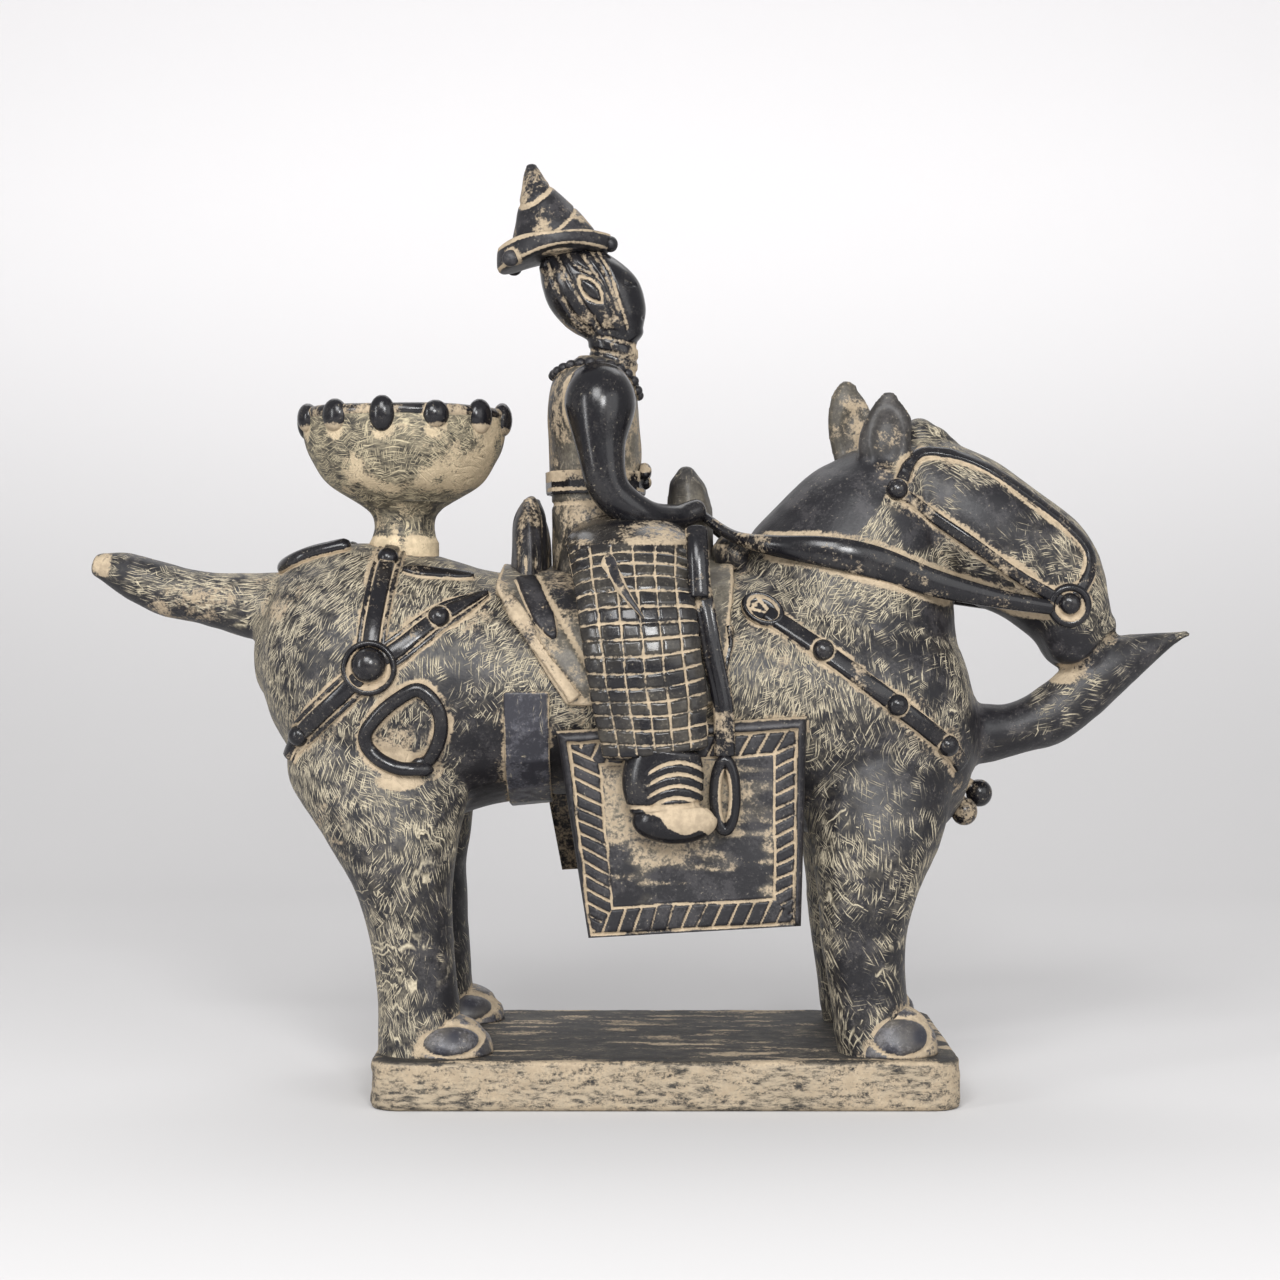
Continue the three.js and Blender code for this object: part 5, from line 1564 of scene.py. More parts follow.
def belt_knot():
    """The sash's bow at the front of the belt."""
    forms = []
    for y, z, half, tilt in KNOT_LUMPS:
        points, faces = ellipsoid((0, 0, 0), (KNOT_HALF, half, KNOT_HALF), 24)
        turned_y = points[:, 1] * math.cos(tilt) - points[:, 2] * math.sin(tilt)
        turned_z = points[:, 1] * math.sin(tilt) + points[:, 2] * math.cos(tilt)
        forms.append((np.column_stack([points[:, 0] + KNOT_X, turned_y + y, turned_z + z + BASE_TOP]), faces))
    form = together(*forms)
    burnished("belt_knot", form, 0.75 * step(noise(form[0], 3, 76), -0.1, 0.4))


BROAD_BAND = 166.9
THIN_BAND = 162.9


def belt():
    """The sash round the waist: a broad pale band over a thin one."""
    points, quads, _ = soft_skin([cad_form("rider_belt")], 0.45, 6)
    z = points[:, 2] - BASE_TOP
    bands = np.maximum(step(abs(z - BROAD_BAND), 2.0, 1.4), step(abs(z - THIN_BAND), 0.9, 0.4))
    wash = np.clip(layered(points, 0.75, (0.5, 5, 77)) * bands, 0, 1)
    burnished("rider_belt", (points, quads), wash)


RIDER_HEAD_WIDTH = 21
EAR_MID = (-21.9, 222.0)
EAR_SLANT = math.radians(-47)
EAR_HALVES = (5.2, 2.5)
FACE_EDGE = [(-19.5, 234), (-15.9, 227), (-13.9, 220.5), (-11.6, 214), (-10.6, 209)]
HAIR_LINES = [
    [(-35, 230), (-31.8, 222), (-27, 214.5), (-21.5, 209.5)],
    [(-32.6, 233), (-28.8, 226), (-25, 219), (-19.6, 211)],
    [(-30, 235), (-26.4, 229.4), (-22, 227)],
    [(-27, 237), (-22.5, 230), (-18, 222.5), (-14.8, 214)],
    [(-24, 238), (-20, 231.5), (-16.6, 224.5), (-13.6, 216)],
]
EYELID = [(-12.0, 224.4), (-10.3, 223.7), (-8.8, 224.2)]
LIPS = [(-9.2, 214.2), (-6.4, 214.5)]
NECK_FOLDS = (207.6, 203.4, 199.6)


def leaf_ear(flat):
    """Below 1 inside a leaf-shaped ear of the side view, above 1 outside it."""
    off = flat - EAR_MID
    along = off @ (math.cos(EAR_SLANT), math.sin(EAR_SLANT)) / EAR_HALVES[0]
    across = off @ (-math.sin(EAR_SLANT), math.cos(EAR_SLANT)) / EAR_HALVES[1]
    return abs(across) + along ** 2


def calm_face(flat, y):
    """1 on the lines of closed eyes and of short lips."""
    eyes = cut_lines(flat, [spline(EYELID, 8)], 0.6, 0.25) * step(abs(y), 1.6, 2.4)
    lips = cut_lines(flat, [LIPS], 0.6, 0.25) * step(abs(y), 4.2, 2.6)
    return np.maximum(eyes, lips)


def neck_folds(x, z):
    folds = most(*(step(abs(z - height + 0.22 * (x + 15)), 1.0, 0.35) for height in NECK_FOLDS))
    return folds * step(z, 210, 208)


def rider_head():
    """Hair in locks, a leaf ear, and a smooth plain face with calm closed eyes."""
    forms = [loft(RIDER_HEAD, RIDER_HEAD_WIDTH, 48, 8), loft(RIDER_NECK, RIDER_HEAD_WIDTH, 40, 8)]
    points, quads, _ = soft_skin(forms, 0.42)
    normals = point_normals(points, quads)
    flat = side_view(points)
    x, z = flat.T
    aside = sideways(normals, 0.15, 0.4)
    ear = leaf_ear(flat)
    ear_line = step(abs(ear - 1), 0.34, 0.14) * aside
    edge_x, edge_z = zip(*FACE_EDGE[::-1])
    in_face = step(x - np.interp(z, edge_z, edge_x), 0, 1.0)
    face_line = cut_lines(flat, [spline(FACE_EDGE, 8)], 0.8, 0.3) * step(z, 209, 211)
    hair = (1 - in_face) * step(z, 206, 210)
    locks = cut_lines(flat, [spline(line, 8) for line in HAIR_LINES], 1.1, 0.3) * aside
    locks *= hair * step(ear, 1.2, 1.6)
    calm = calm_face(flat, points[:, 1]) * in_face
    folds = neck_folds(x, z)
    shape = 0.5 * step(ear, 0.9, 0.3) * aside - 0.6 * ear_line - 0.5 * face_line - 0.55 * locks
    shape = shape - 0.4 * calm - 0.4 * folds + 0.15 * noise(points, 4, 82) * hair
    points = moved_along(points, normals, shape)
    worn = layered(points, 0.2, (0.35, 6, 83), (0.3, 2.5, 84)) + 0.16 * step(z, 219, 211)
    patch = layered(points, 0.24, (0.6, 4, 81)) + 0.5 * step(x, -18, -13)
    wash = most(0.9 * ear_line, 0.7 * face_line, 0.55 * locks, 0.3 * calm, 0.6 * folds,
                hair * np.clip(worn, 0, 0.52), step(z, 208, 206) * np.clip(patch, 0, 0.9))
    put("rider_head", (points, quads), BURNISHED, "clay", wash=np.clip(wash, 0, 1), comb=0.0)


HAT_WIDTH = 24
# The pale bands: place along the lean, and half-width
HAT_BANDS = ((279, 1.0), (290, 1.3))
BRIM_RADIUS = 16.5
BRIM_TILT = math.radians(10)
BRIM_STEPS = 140
# The brim's section: shares of its radius and of its height
BRIM_PROFILE = [
    (0.55, 0.1), (0.84, 0.02), (0.94, 0.03), (0.985, 0.1), (1.0, 0.17), (1.015, 0.24), (1.02, 0.4),
    (1.02, 0.6), (1.015, 0.74), (1.01, 0.82), (0.995, 0.93), (0.95, 1.0), (0.89, 0.93), (0.85, 0.74),
    (0.72, 0.6), (0.5, 0.55),
]


def hat_cone():
    """A leaning cone with pale bands: its form and its wash."""
    points, faces = loft(HAT, HAT_WIDTH, 90, 22, (1, 1))
    lean = points[:, 2] - 0.62 * points[:, 0] - 0.5 * points[:, 1]
    bands = most(*(step(abs(lean - place), half, 0.4) for place, half in HAT_BANDS))
    points = moved_along(points, point_normals(points, faces), 0.2 * noise(points, 4, 92) - 0.35 * bands)
    worn = patches(points, 0.66, 0.36, (0.5, 6, 91), (0.25, 2.5, 93))
    return (points, faces), np.maximum(0.85 * bands, worn)


def hat_brim(centre):
    """An upturned brim with a wavy edge: its form, and the wash along both its edges."""
    turn = np.linspace(0, TURN, BRIM_STEPS, endpoint=False)
    tall = 6.2 - 1.6 * np.cos(turn) + 0.9 * np.cos(2 * turn) + 0.4 * np.sin(3 * turn + 2.2)
    tall = tall + 0.3 * np.sin(5 * turn)
    rings = []
    lines = []
    for share, rise in BRIM_PROFILE:
        radius = BRIM_RADIUS * share * (1 + 0.025 * np.sin(4 * turn + 1))
        x = radius * np.cos(turn)
        z = (rise - 0.35) * tall + x * math.tan(BRIM_TILT) + 2.2 * share * np.sin(turn) ** 2
        rings.append(centre + np.column_stack([x, radius * np.sin(turn) * 0.92, z]))
        on_edge = share > 0.94 and not 0.2 <= rise <= 0.8
        lines.append(np.full(BRIM_STEPS, 1.0 if on_edge else 0.1))
    form = skin(rings)
    return form, np.concatenate([*lines, [0, 0]]) * layered(form[0], 0.85, (0.4, 5, 94))


def hat():
    """The cone in its brim, with a nub in front and a curl on each side at the back."""
    centre = np.array([(HAT[0][0] + HAT[0][2]) / 2, 0, (HAT[0][1] + HAT[0][3]) / 2 + BASE_TOP])
    cone, cone_wash = hat_cone()
    brim, brim_wash = hat_brim(centre)
    nub = ellipsoid(centre + (BRIM_RADIUS + 0.4, -1.5, 3.2), (2.2, 2.6, 2.4), 24)
    curls = [ellipsoid(centre + (-12.6, 10.2 * side, -2.2), (2.5, 1.5, 2.5), 24) for side in SIDES]
    for curl in curls:
        brim_wash = np.maximum(brim_wash, wash_near(brim[0], curl[0].mean(0), 2.8, 4.4))
    form = together(cone, brim, nub, *curls)
    plain = np.full(len(form[0]) - len(cone_wash) - len(brim_wash), 0.2)
    wash = np.concatenate([cone_wash, np.clip(brim_wash, 0, 1), plain])
    put("hat", form, COMBED, "clay", wash=wash, comb=0.0)


# The bowl

BOWL_X = -78.0
BOWL_FOOT = 158.3 + BASE_TOP
BOWL_TOP = 184.0 + BASE_TOP
BOWL_FLOOR = 167.0 + BASE_TOP
BOWL_RADIUS = 30.5
BOWL_WALL = 3.6
# The stem's section: radius and z
STEM = [
    (0.05, 138), (10.4, 138), (10.4, 146.4), (10.2, 147.6), (9.5, 149.2), (8.9, 152), (9.5, 155),
    (11.4, 157.4), (14.6, 159.6), (0.05, 159.6),
]
STEM_ON_BODY_TO = 150
RIM_RADIUS = 28.7
RIM_LEVEL = 185.05 + BASE_TOP
PELLETS = 12
PELLET_TURNS = [TURN * k / PELLETS + math.radians(-7) for k in range(PELLETS)]
PELLET_RADIUS = 29.8
PELLET_LEVEL = 183.9 + BASE_TOP
DAB_RADIUS = 30
DAB_LEVEL = BOWL_TOP - 4.2


def from_bowl_axis(points):
    """The level direction from the bowl's axis to each point."""
    return unit((points - (BOWL_X, 0, 0)) * (1, 1, 0))


def bowl_section():
    """Radius and height of the bowl's section, up its outside and down its inside."""
    depth = BOWL_TOP - BOWL_FOOT
    floor = BOWL_FLOOR - BOWL_FOOT
    room = BOWL_TOP - BOWL_FLOOR
    inner = BOWL_RADIUS - BOWL_WALL
    outside = [
        (12.4, 0), (0.74 * BOWL_RADIUS, 0.24 * depth), (0.91 * BOWL_RADIUS, 0.52 * depth),
        (0.985 * BOWL_RADIUS, 0.77 * depth), (BOWL_RADIUS, depth),
    ]
    inside = [
        (inner, depth), (0.95 * inner, floor + 0.6 * room), (0.78 * inner, floor + 0.24 * room), (12, floor),
    ]
    return [(0.05, 0), *spline(outside, 12), *spline(inside, 12), (0.05, floor)]


def bowl():
    """An uneven wall mottled with wash, sooty towards the back, with a painted shadow line just under the
    rim, and dabbed under each pellet.
    """
    points, faces = turned(bowl_section(), (BOWL_X, 0, BOWL_FOOT), UP, 140)
    out = from_bowl_axis(points)
    soft = step(points[:, 2], BOWL_FOOT, BOWL_FOOT + 4) * step(points[:, 2], BOWL_TOP, BOWL_TOP - 3)
    points = moved_along(points, out, soft * layered(points, 0.0, (0.5, 14, 101), (0.2, 5, 102)))
    # A band just under the rim gets less wash and comes out darker: a painted shadow line under the rim coil.
    rim = step(points[:, 2], BOWL_TOP - 6, BOWL_TOP - 1)
    sooty = step(points[:, 0], BOWL_X + 8, BOWL_X - 16) * step(points[:, 2], BOWL_FOOT + 5, BOWL_FOOT + 14)
    wash = layered(points, 0.36, (0.85, 13, 103), (0.35, 5, 104)) - 0.2 * rim - 0.42 * sooty
    wash = np.clip(wash, 0.0, 0.8)
    worn = layered(points, 0.75, (0.4, 4, 106))
    for turn in PELLET_TURNS:
        dab = np.array((BOWL_X + DAB_RADIUS * math.cos(turn), DAB_RADIUS * math.sin(turn), DAB_LEVEL))
        wash = np.maximum(wash, worn * wash_near(points, dab, 2.6, 5.2))
    flow = np.cross(out, UP)
    flow[:, 2] += 0.8 * noise(points, 17, 105)
    put("bowl", (points, faces), BOWL, "bowl_clay", wash=wash, comb=0.85, flow=unit(flow))


def bowl_stem():
    """The bowl's stem: a pale foot, and streaks drawn up from it by hand."""
    section = [STEM[0], *spline(STEM[1:-1], 6), STEM[-1]]
    points, faces = turned([(r, z + BASE_TOP) for r, z in section], (BOWL_X, 0, 0), UP, 80)
    z = points[:, 2] - BASE_TOP
    foot = step(z, 149.6, 148.6)
    streak = noise(points * (1, 1, 0.2), 2.5, 112)
    points = moved_along(points, from_bowl_axis(points), 0.5 * streak * (1 - foot) * step(z, 159.6, 157))
    wash = np.clip(0.34 + 0.5 * foot + 0.35 * streak, 0, 0.9)
    put("bowl_stem", (points, faces), BOWL, "bowl_clay", wash=wash, comb=0.5, flow=UP)
    laid.append(points[points[:, 2] < BASE_TOP + STEM_ON_BODY_TO])


def rim_coil():
    rings = []
    for turn in np.linspace(0, TURN, 160, endpoint=False):
        out = np.array((math.cos(turn), math.sin(turn), 0))
        gauge = 2.1 + 0.12 * math.sin(5 * turn + 1)
        centre = np.array((BOWL_X, 0, RIM_LEVEL)) + out * RIM_RADIUS
        rings.append(ring_at(centre, out * gauge, UP * gauge, 20))
    return skin(rings, closed=True)


def pellet(k):
    """A pellet pressed on the rim, each of its own size: its form, its wash and its centre."""
    turn = PELLET_TURNS[k]
    out = np.array((math.cos(turn), math.sin(turn), 0))
    aside = np.array((-math.sin(turn), math.cos(turn), 0))
    centre = np.array((BOWL_X, 0, PELLET_LEVEL)) + out * PELLET_RADIUS
    broad = 4.1 + 0.3 * math.cos(1.7 * k)
    tall = 4.8 + 0.7 * math.sin(2.3 * k + 0.4)
    points, faces = ellipsoid((0, 0, 0), (3.0, broad, tall), 26)
    points = centre + points[:, :1] * out + points[:, 1:2] * aside + points[:, 2:] * UP
    inner = 0.7 * step((points - centre) @ out, -0.6, -1.6)
    crescent = step(points[:, 2] - centre[2], -1.6, -3.2) * (0.6 + 0.5 * math.sin(1.9 * k))
    return (points, faces), np.clip(np.maximum(inner, crescent), 0, 1), centre


def bowl_rim():
    """The coil round the bowl's edge with its pellets, pale beside each of them."""
    coil = rim_coil()
    coil_wash = patches(coil[0], 0.8, 0.42, (0.5, 6, 113))
    forms = []
    washes = []
    for k in range(PELLETS):
        form, wash, centre = pellet(k)
        forms.append(form)
        washes.append(wash)
        coil_wash = np.maximum(coil_wash, 0.9 * wash_near(coil[0], centre, 3.6, 5.4))
    burnished("bowl_rim", together(coil, *forms), np.concatenate([coil_wash, *washes]))


# The base and the hooves

BASE_LENGTH = 168.0
BASE_WIDTH = 95.0
BASE_CORNER = 9.0
CORNER_SIGNS = ((1, 1), (-1, 1), (-1, -1), (1, -1))
CORNER_STEPS = 16
LONG_STEPS = 90
SHORT_STEPS = 50
TOP_STEPS = 46
# Rows up the slab's side: distance out from the outline, and z
SLAB_ROWS = [
    (-1.6, 0.0), (-0.5, 0.45), *((0, 1.6 + k * 1.05) for k in range(11)),
    (-0.15, 12.9), (-0.6, 13.6), (-1.6, 14.0),
]


def corner_point(quarter, share):
    """A point of the slab's outline, a share of the way round one of its corners."""
    sign_x, sign_y = CORNER_SIGNS[quarter % 4]
    centre = np.array((sign_x * (BASE_LENGTH / 2 - BASE_CORNER), sign_y * (BASE_WIDTH / 2 - BASE_CORNER)))
    turn = math.pi / 2 * (quarter + share)
    return centre + BASE_CORNER * np.array((math.cos(turn), math.sin(turn)))


def slab_form():
    ring = []
    for quarter in range(4):
        ring += [corner_point(quarter, k / CORNER_STEPS) for k in range(CORNER_STEPS + 1)]
        goal = corner_point(quarter + 1, 0)
        count = SHORT_STEPS if quarter % 2 else LONG_STEPS
        for k in range(1, count):
            ring.append(ring[-1] + (goal - ring[-1]) / (count - k + 1))
    ring = np.array(ring)
    out = unit(np.roll(ring, -1, 0) - np.roll(ring, 1, 0))[:, ::-1] * (1, -1)
    rings = [np.column_stack([ring + out * away, np.full(len(ring), z)]) for away, z in SLAB_ROWS]
    rim = rings[-1][:, :2]
    for k in range(1, TOP_STEPS):
        rings.append(np.column_stack([rim * (1 - k / TOP_STEPS), np.full(len(ring), BASE_TOP)]))
    return skin(rings)


def base_slab():
    """A rounded slab: rough sides, and a top wiped in long streaks."""
    points, faces = slab_form()
    normals = point_normals(points, faces)
    sides = step(points[:, 2], 0.2, 2) * step(abs(normals[:, 2]), 0.9, 0.3)
    top = step(points[:, 2], 13.2, 13.8)
    rough = layered(points, 0.0, (0.45, 9, 121), (0.35, 3, 122), (0.25, 1.6, 123))
    points = moved_along(points, normals, (rough - 0.35) * (0.9 * sides + 0.25 * top))
    streak = noise(points * (0.25, 1, 1), 3.5, 124) + 0.6 * noise(points * (0.18, 1, 1), 1.6, 125)
    near_edge = np.minimum(BASE_LENGTH / 2 - abs(points[:, 0]), BASE_WIDTH / 2 - abs(points[:, 1]))
    on_top = 0.24 + 0.55 * streak + 0.3 * step(near_edge, 6, 1)
    on_side = 0.47 + 0.2 * noise(points * (0.3, 0.3, 1), 5, 126) + 0.14 * noise(points, 3, 127)
    wash = np.clip(np.where(top > 0.5, on_top, on_side), 0, 0.85)
    put("base_slab", (points, faces), SANDY, "sandy_clay", wash=wash, comb=0.3 * top,
        flow=(1.0, 0.05, 0.0), soot=top)


# Each pair of hooves: its kind, its x and its height
HOOVES = (("hind", -62.5, 11.0), ("fore", 65.5, 14.0))
HOOF_MIDDLE = 30
HOOF_RADIUS = 13


def hoof(kind, x, height, side):
    """A domed hoof: a dark oval on each flank inside a pale line, the rest worn."""
    turns = np.linspace(0.0, math.pi / 2, 34)[:-1]
    centre = np.array((x, side * HOOF_MIDDLE, BASE_TOP))
    points, faces = skin(level_rings(centre, (HOOF_RADIUS, HOOF_RADIUS, height), turns, 90))
    off = (points - centre) / (1, 1, height)
    oval = np.hypot((off[:, 0] - 1.2) / 9.2, (off[:, 2] - 0.43) / 0.38) + 0.05 * noise(points, 5, 131)
    line = step(abs(oval - 1.0), 0.15, 0.06)
    points = moved_along(points, unit(points - centre), 0.4 * step(oval, 0.95, 0.5) - 0.6 * line)
    worn = step(oval, 1.0, 1.12) * patches(points, 0.8, 0.42, (0.5, 4, 132))
    haze = patches(points, 0.3, 0.08, (0.14, 4, 133))
    wash = np.maximum(0.95 * line, worn)
    name = sided(f"{kind}_hoof", side)
    put(name, (points, faces), GREY_BLUE_AND_SHEEN_CLAY, "burnished_clay", wash=wash, haze=haze, comb=0.0)
    laid.append(points)


# Bands that no solid of the frame stands for

RUMP_LEAF = [(-77, 138.5), (-66, 137.6), (-55.5, 136.6)]
PAD_BAND = [(-46, 131), (-36, 116), (-25.5, 101.5)]
CANTLE_TONGUE = [(-41, 137), (-36.5, 128), (-31.5, 118.5)]
LEATHER = [(23, 124), (21.4, 115), (19.4, 104.5)]
BAND_HEIGHT = 0.8


def band(name, side, line, width, ground, material=BURNISHED, taper=(0.0, 0.0), pale=0.0):
    """A draped band, rubbed pale by a given amount."""
    form, wash = draped(line, side, width, BAND_HEIGHT, ground, taper)
    rub = np.clip(pale * layered(form[0], 1, (0.8, 7, 58)), 0, 0.95)
    slot = "burnished_clay" if material is BURNISHED else "clay"
    put(sided(name, side), form, material, slot, wash=np.maximum(wash, rub), comb=0.0)
    laid.append(form[0])


pad_ground = saddle_pad()
girth()
cantle()
withers()
torso_ground = torso(np.vstack([arm(side) for side in SIDES]))
collar(torso_ground)
belt()
belt_knot()
rider_head()
hat()
bowl_stem()
bowl()
bowl_rim()
base_slab()
for side in SIDES:
    cloth(side)
    stirrup_strap(side)
    stirrup(side)
    keeper(side)
    sash_end(side, trouser(side))
    boot(side)
    band("rump_leaf", side, RUMP_LEAF, 5.6, body_ground, taper=(0.25, 0.25))
    band("pad_band", side, PAD_BAND, 5.0, pad_ground, COMBED, pale=0.62)
    band("cantle_tongue", side, CANTLE_TONGUE, 7.0, pad_ground, COMBED, taper=(0.0, 0.35))
    band("small_leather", side, LEATHER, 3.0, pad_ground)
    for kind, x, height in HOOVES:
        hoof(kind, x, height, side)


# The body's own surface: where the comb ran and where the pale wash stayed

# The slant of the comb's strokes in degrees
COMB_ANGLE = {
    "trunk": 55, "neck": 35, "head": -38, "tail": 4, "chest_horn": 22, "forelock": -30, "ear": 80,
    "hind_leg": 84, "fore_leg": 86,
}
MANE = [(14, 146), (44, 147), (56, 150), (65, 162), (70, 172)]
# Spots in the side view: x, z, the two half-sizes and an amount
BURNISHED_SPOTS = [
    (-65, 34, 11, 34, 0.5), (60, 26, 15, 36, 0.65), (74, 152, 13, 11, 0.85), (119, 119, 10, 7, 0.85),
    (82, 128, 12, 12, 0.7), (96, 158, 14, 8, 0.6), (74, 68, 18, 18, 0.35), (-56, 98, 14, 15, 0.3),
    (-38, 86, 22, 12, 0.8), (60, 118, 24, 18, 0.3), (68, 88, 30, 44, 0.16), (80, 164, 11, 9, 0.6),
    (-97, 112, 10, 22, 0.45), (100, 95, 14, 7, 0.85), (128, 112, 12, 6, 0.7), (-145, 141, 22, 4, 0.5),
    (76, 108, 9, 14, 0.5),
]
PALE_SPOTS = [
    (-75.5, 78.4, 10, 3.6, 1.1), (-168, 141, 5, 6, 0.85), (29, 112, 10, 10, 0.42), (121, 107.4, 9, 3.6, 1.1),
    (-55, 124, 9, 8, 0.45), (-74.5, 92.6, 8.5, 9.5, 0.62), (-80.6, 91, 4.4, 6.6, 1.0),
    (-75.6, 85.4, 6.6, 3.4, 1.0), (-96, 60, 9, 26, 0.4), (-108, 130, 8, 10, 0.4), (84, 80, 7, 12, 0.36),
    (66, 168, 8, 5, 0.45), (18, 140, 9, 10, 0.5), (-138, 129, 26, 9, 0.5), (-120, 131, 14, 10, 0.45),
    (-112, 126, 6, 8, 0.5), (127, 140, 5, 12, 0.4),
]


def rein_edges(points):
    """Where the pale wash stayed along both edges of the reins."""
    path = spline([(x, z) for x, _, z, _ in REIN], 8)
    half = spline([(half, 0.0) for *_, half in REIN], 8)[:, 0]
    gap, along = line_distance(side_view(points), path)
    edge = gap - np.interp(along, run_along(path), half)
    near = step(edge, layered(points, 2.6, (0.8, 9, 153)), 1.0)
    return patches(points, 1, 0.85, (0.4, 7, 152)) * near * step(points[:, 0], 24, 32)


def ring_edges(points):
    """Where the pale wash stayed on both sides of the hip rings."""
    gap, _ = line_distance(side_view(points), spline(RING_PATH, 8))
    return patches(points, 1, 0.8, (0.5, 6, 154)) * step(gap, layered(points, 3.7, (0.6, 5, 155)), 2.8)


def comb_flow(owner, normals):
    """The direction of the comb's strokes over the body."""
    kinds = [name.removesuffix("_right").removesuffix("_left") for name in BODY_NODES]
    angle = np.zeros(len(body_points))
    angle[body_quads] = np.array([COMB_ANGLE[kind] for kind in kinds], float)[owner][:, None]
    angle = np.radians(body_graph.blur(angle, 30)) + 0.7 * noise(body_points, 60, 141)
    flow = np.column_stack([np.cos(angle), 0.3 * np.sin(2.3 * angle), np.sin(angle)])
    return unit(flow - normals * dots(flow, normals)[:, None])


def seam_wash():
    """The wash along the seams of all that lies on the body, and a thinner one farther from them."""
    gap = point_gaps(body_points, np.vstack(laid))
    reach = layered(body_points, 0.9, (0.7, 8, 143), (0.4, 3, 144))
    seam = layered(body_points, 0.8, (0.4, 6, 146)) * step(gap, reach + 0.5, reach - 0.4)
    thin = layered(body_points, 0.26, (0.3, 7, 147)) * step(gap, 6, 1.5)
    return np.clip(np.maximum(seam, thin), 0, 1)


def mane_cover(x, z):
    """1 on the crest of the neck, where the mane is smooth."""
    mane_x, mane_z = zip(*MANE)
    line = np.interp(x, mane_x, mane_z)
    return step(z, line - 3, line + 1) * step(x, 12, 22) * step(x, 70, 62)


def body_wash(normals, mane, ears, far_ear):
    """The pale wash: in seams and hollows, in dabs, on the ears, and beside the reins and hip rings."""
    hollow = body_graph.hollow(body_points, normals, 6)
    wash = np.maximum(seam_wash(), 0.55 * step(hollow, 0.01, 0.035)) * (1 - 0.7 * mane)
    worn = layered(body_points, 0.9, (0.6, 5, 149))
    for *spot, amount in PALE_SPOTS:
        wash = np.maximum(wash, np.clip(amount * in_spot(body_points, spot) * worn, 0, 1))
    crease = 0.9 * jaw_crease(body_points, normals) * layered(body_points, 0.8, (0.5, 6, 151))
    mottled = layered(body_points, 0.42 + 0.2 * far_ear, (0.45, 4, 150)) - 0.25 * (1 - ear_cups(body_points))
    edges = np.maximum(rein_edges(body_points), ring_edges(body_points)) * sideways(normals, 0.2, 0.5)
    return most(wash, crease, ears * np.clip(mottled, 0, 0.72), edges)


def body_comb(normals, mane, ears, x, z):
    """How much the comb scratched: less on the mane, on the cheek, the ears and the horn; fewer pale strokes
    on faces that look down paint shade there.
    """
    # Painted shade: faces that look down get fewer pale strokes and so come out darker.
    under = step(normals[:, 2], -0.3, -0.75)
    comb = patches(body_points, 1, 0.8, (0.3, 30, 145)) * (1 - 0.95 * mane) * (1 - 0.6 * under)
    cheek = step(np.hypot((x - 99) / 20 - (150 - z) / 60, (z - 152) / 11), 1.1, 0.5)
    comb = comb * (1 - 0.5 * (cheek * sideways(normals, 0.3, 0.6)))
    smooth = layered(body_points, 0.8, (0.4, 8, 148))
    for *spot, amount in BURNISHED_SPOTS:
        comb = comb * (1 - amount * in_spot(body_points, spot) * smooth)
    horn = step(x, 86, 92) * step(z, 122, 116)
    return np.clip(comb * (1 - 0.85 * ears) * (1 - 0.35 * horn), 0, 1)


def body_surface():
    """Parts the skin where the solids meet, and puts each part with its comb strokes and its wash."""
    normals = point_normals(body_points, body_quads)
    owner = node_owner(BODY_NODES, body_points[body_quads].mean(1))
    x, z = side_view(body_points).T
    mane = mane_cover(x, z)
    ears = step(z, 171, 175) * step(x, 75, 72)
    far_ear = step(body_points[:, 1], -2, 2)
    looks = {
        "wash": body_wash(normals, mane, ears, far_ear),
        "haze": ears * (0.05 + 0.12 * far_ear),
        "comb": body_comb(normals, mane, ears, x, z),
        "flow": comb_flow(owner, normals),
    }
    for k, name in enumerate(BODY_NODES):
        quads = body_quads[owner == k]
        used, inverse = np.unique(quads, return_inverse=True)
        form = (body_points[used], inverse.reshape(quads.shape))
        own_looks = {key: values[used] for key, values in looks.items()}
        put(name, form, COMBED, "clay", normals[used], **own_looks)


body_surface()


# The stage, the light and the camera, in metres

# The wall's tone is set brighter than the floor's to make up for the weaker light that reaches the wall:
# painted light.
FLOOR_TONE = (0.585, 0.578, 0.58, 1)
WALL_TONE_PAINTED_BRIGHT = (1.0, 0.985, 0.995, 1)
FLOOR_HALF = 3.5
FLOOR_FRONT = -3.0
FLOOR_BACK = 0.5
BEND = 0.7
WALL_TOP = 3.0


def backdrop():
    """A plain pale paper: a little darker where it lies as the floor than where it stands as the wall; the
    wall's brighter tone is painted light that makes up for the weaker light on it.
    """
    nodes = Nodes("pale_paper")
    height = nodes.give("ShaderNodeSeparateXYZ", {0: nodes.place()}, 2)
    colour = nodes.mix(nodes.smooth(height, 0.0, 0.5), FLOOR_TONE, WALL_TONE_PAINTED_BRIGHT)
    return nodes.surface({"Base Color": colour, "Roughness": 0.9, "Specular IOR Level": 0.1})


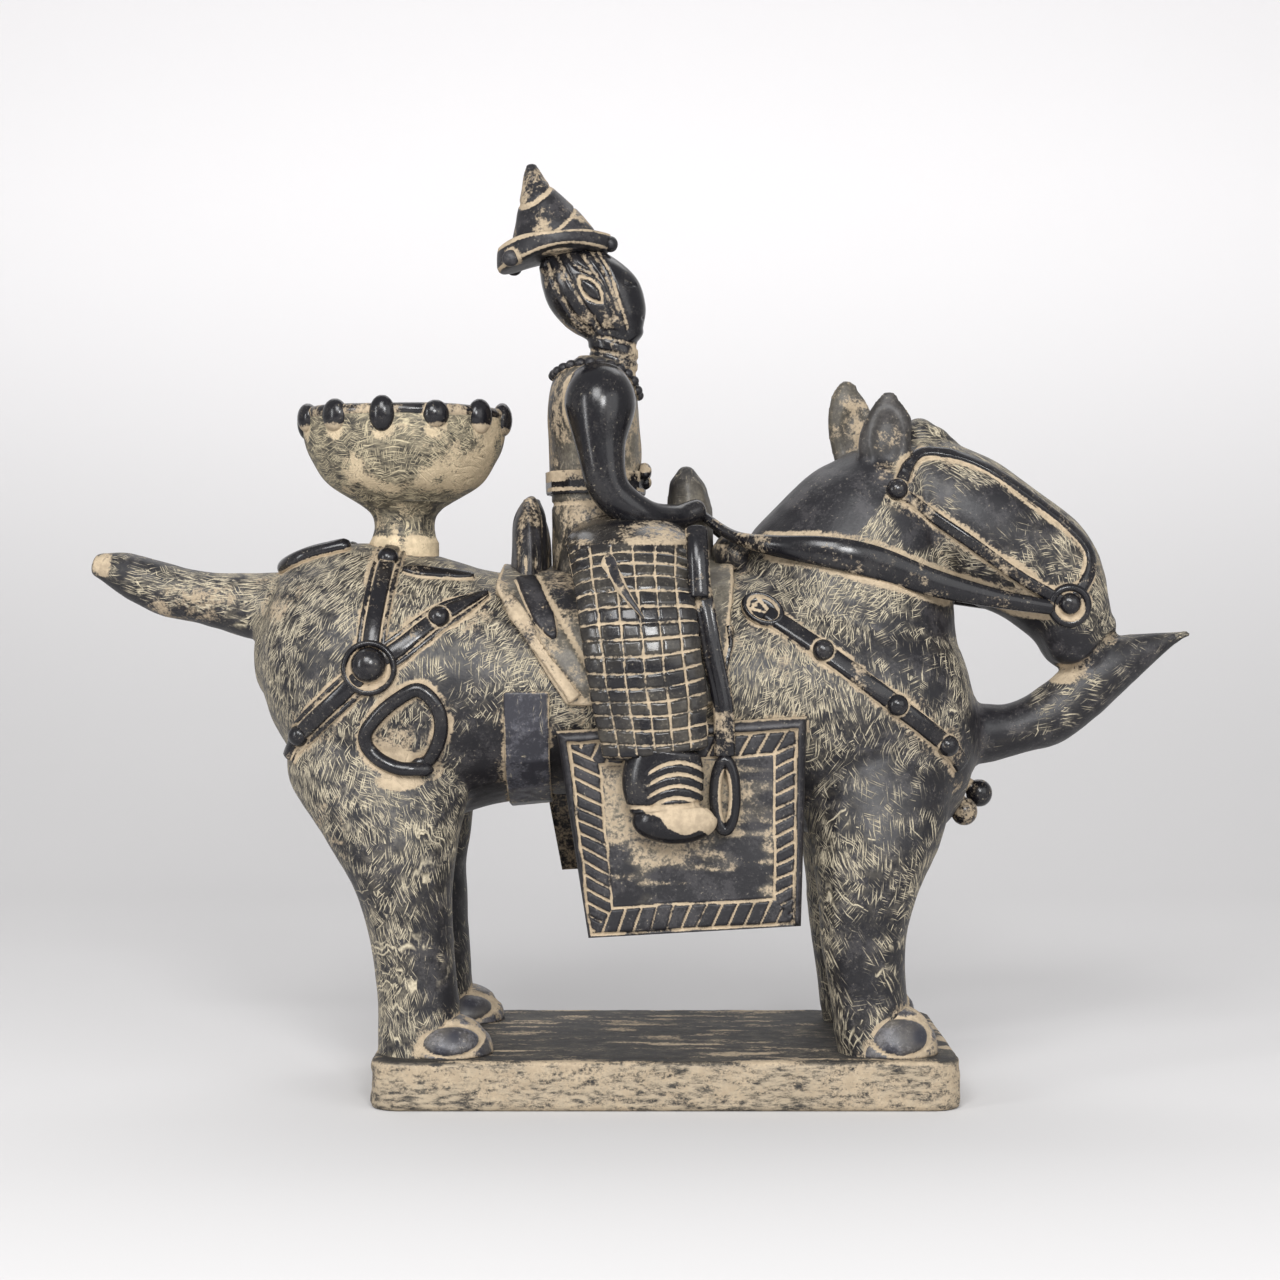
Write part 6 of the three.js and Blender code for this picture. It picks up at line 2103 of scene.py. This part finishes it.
def stage():
    """A pale floor that curves up into the backdrop."""
    profile = [(FLOOR_FRONT, 0.0), (FLOOR_BACK, 0.0)]
    for turn in np.linspace(0.05, math.pi / 2, 16):
        profile.append((FLOOR_BACK + BEND * math.sin(turn), BEND - BEND * math.cos(turn)))
    profile.append((FLOOR_BACK + BEND, WALL_TOP))
    points = [(x, y, z) for y, z in profile for x in (-FLOOR_HALF, FLOOR_HALF)]
    faces = grid_faces(len(profile), 2)
    mesh = bpy.data.meshes.new("floor")
    mesh.from_pydata(points, [], faces)
    mesh.polygons.foreach_set("use_smooth", np.ones(len(faces), bool))
    mesh.materials.append(backdrop())
    floor = bpy.data.objects.new("floor", mesh)
    bpy.context.scene.collection.objects.link(floor)


def area_light(name, place, aim, size, power):
    light = bpy.data.lights.new(name, "AREA")
    light.shape = "RECTANGLE"
    light.size, light.size_y = size
    light.energy = power
    lamp = bpy.data.objects.new(name, light)
    lamp.location = place
    lamp.rotation_euler = (Vector(aim) - Vector(place)).to_track_quat("-Z", "Y").to_euler()
    bpy.context.scene.collection.objects.link(lamp)


CAMERA_PLACE = (-7.3 * MM, -750 * MM, 140 * MM)
SENSOR_WIDTH = 36
# The photograph's half-width, focal length and horizon, in its own pixels
PHOTO_HALF = 640
PHOTO_FOCUS = 2500
HORIZON_ROW = 614


def camera():
    """A level camera, shifted so that the horizon falls on the photograph's row."""
    lens = bpy.data.cameras.new("camera")
    lens.sensor_width = SENSOR_WIDTH
    lens.lens = SENSOR_WIDTH * PHOTO_FOCUS / (2 * PHOTO_HALF)
    lens.shift_y = (HORIZON_ROW - PHOTO_HALF) / (2 * PHOTO_HALF)
    lens.clip_start = 0.01
    eye = bpy.data.objects.new("camera", lens)
    eye.location = CAMERA_PLACE
    eye.rotation_euler = (math.pi / 2, 0, 0)
    bpy.context.scene.collection.objects.link(eye)
    bpy.context.scene.camera = eye


def world():
    surround = bpy.data.worlds.new("studio")
    surround.use_nodes = True
    background = surround.node_tree.nodes["Background"]
    background.inputs["Color"].default_value = (1, 1, 1, 1)
    background.inputs["Strength"].default_value = 0.45
    bpy.context.scene.world = surround


stage()
world()
area_light("key", (-0.25, -1.1, 0.9), (0, 0, 0.13), (0.5, 0.5), 11.5)
area_light("lamp", (0.15, -0.95, 0.5), (0, 0, 0.13), (0.2, 0.2), 5)
area_light("strip", (-0.8, -0.6, 0.32), (0, 0, 0.16), (0.07, 0.5), 2.6)
area_light("fill", (0.8, -0.9, 0.5), (0, 0, 0.12), (0.8, 0.8), 4)
area_light("back", (0.0, 0.6, 1.1), (0, 0, 0.15), (1.2, 0.5), 4)
camera()
bpy.context.scene.view_settings.view_transform = "Standard"
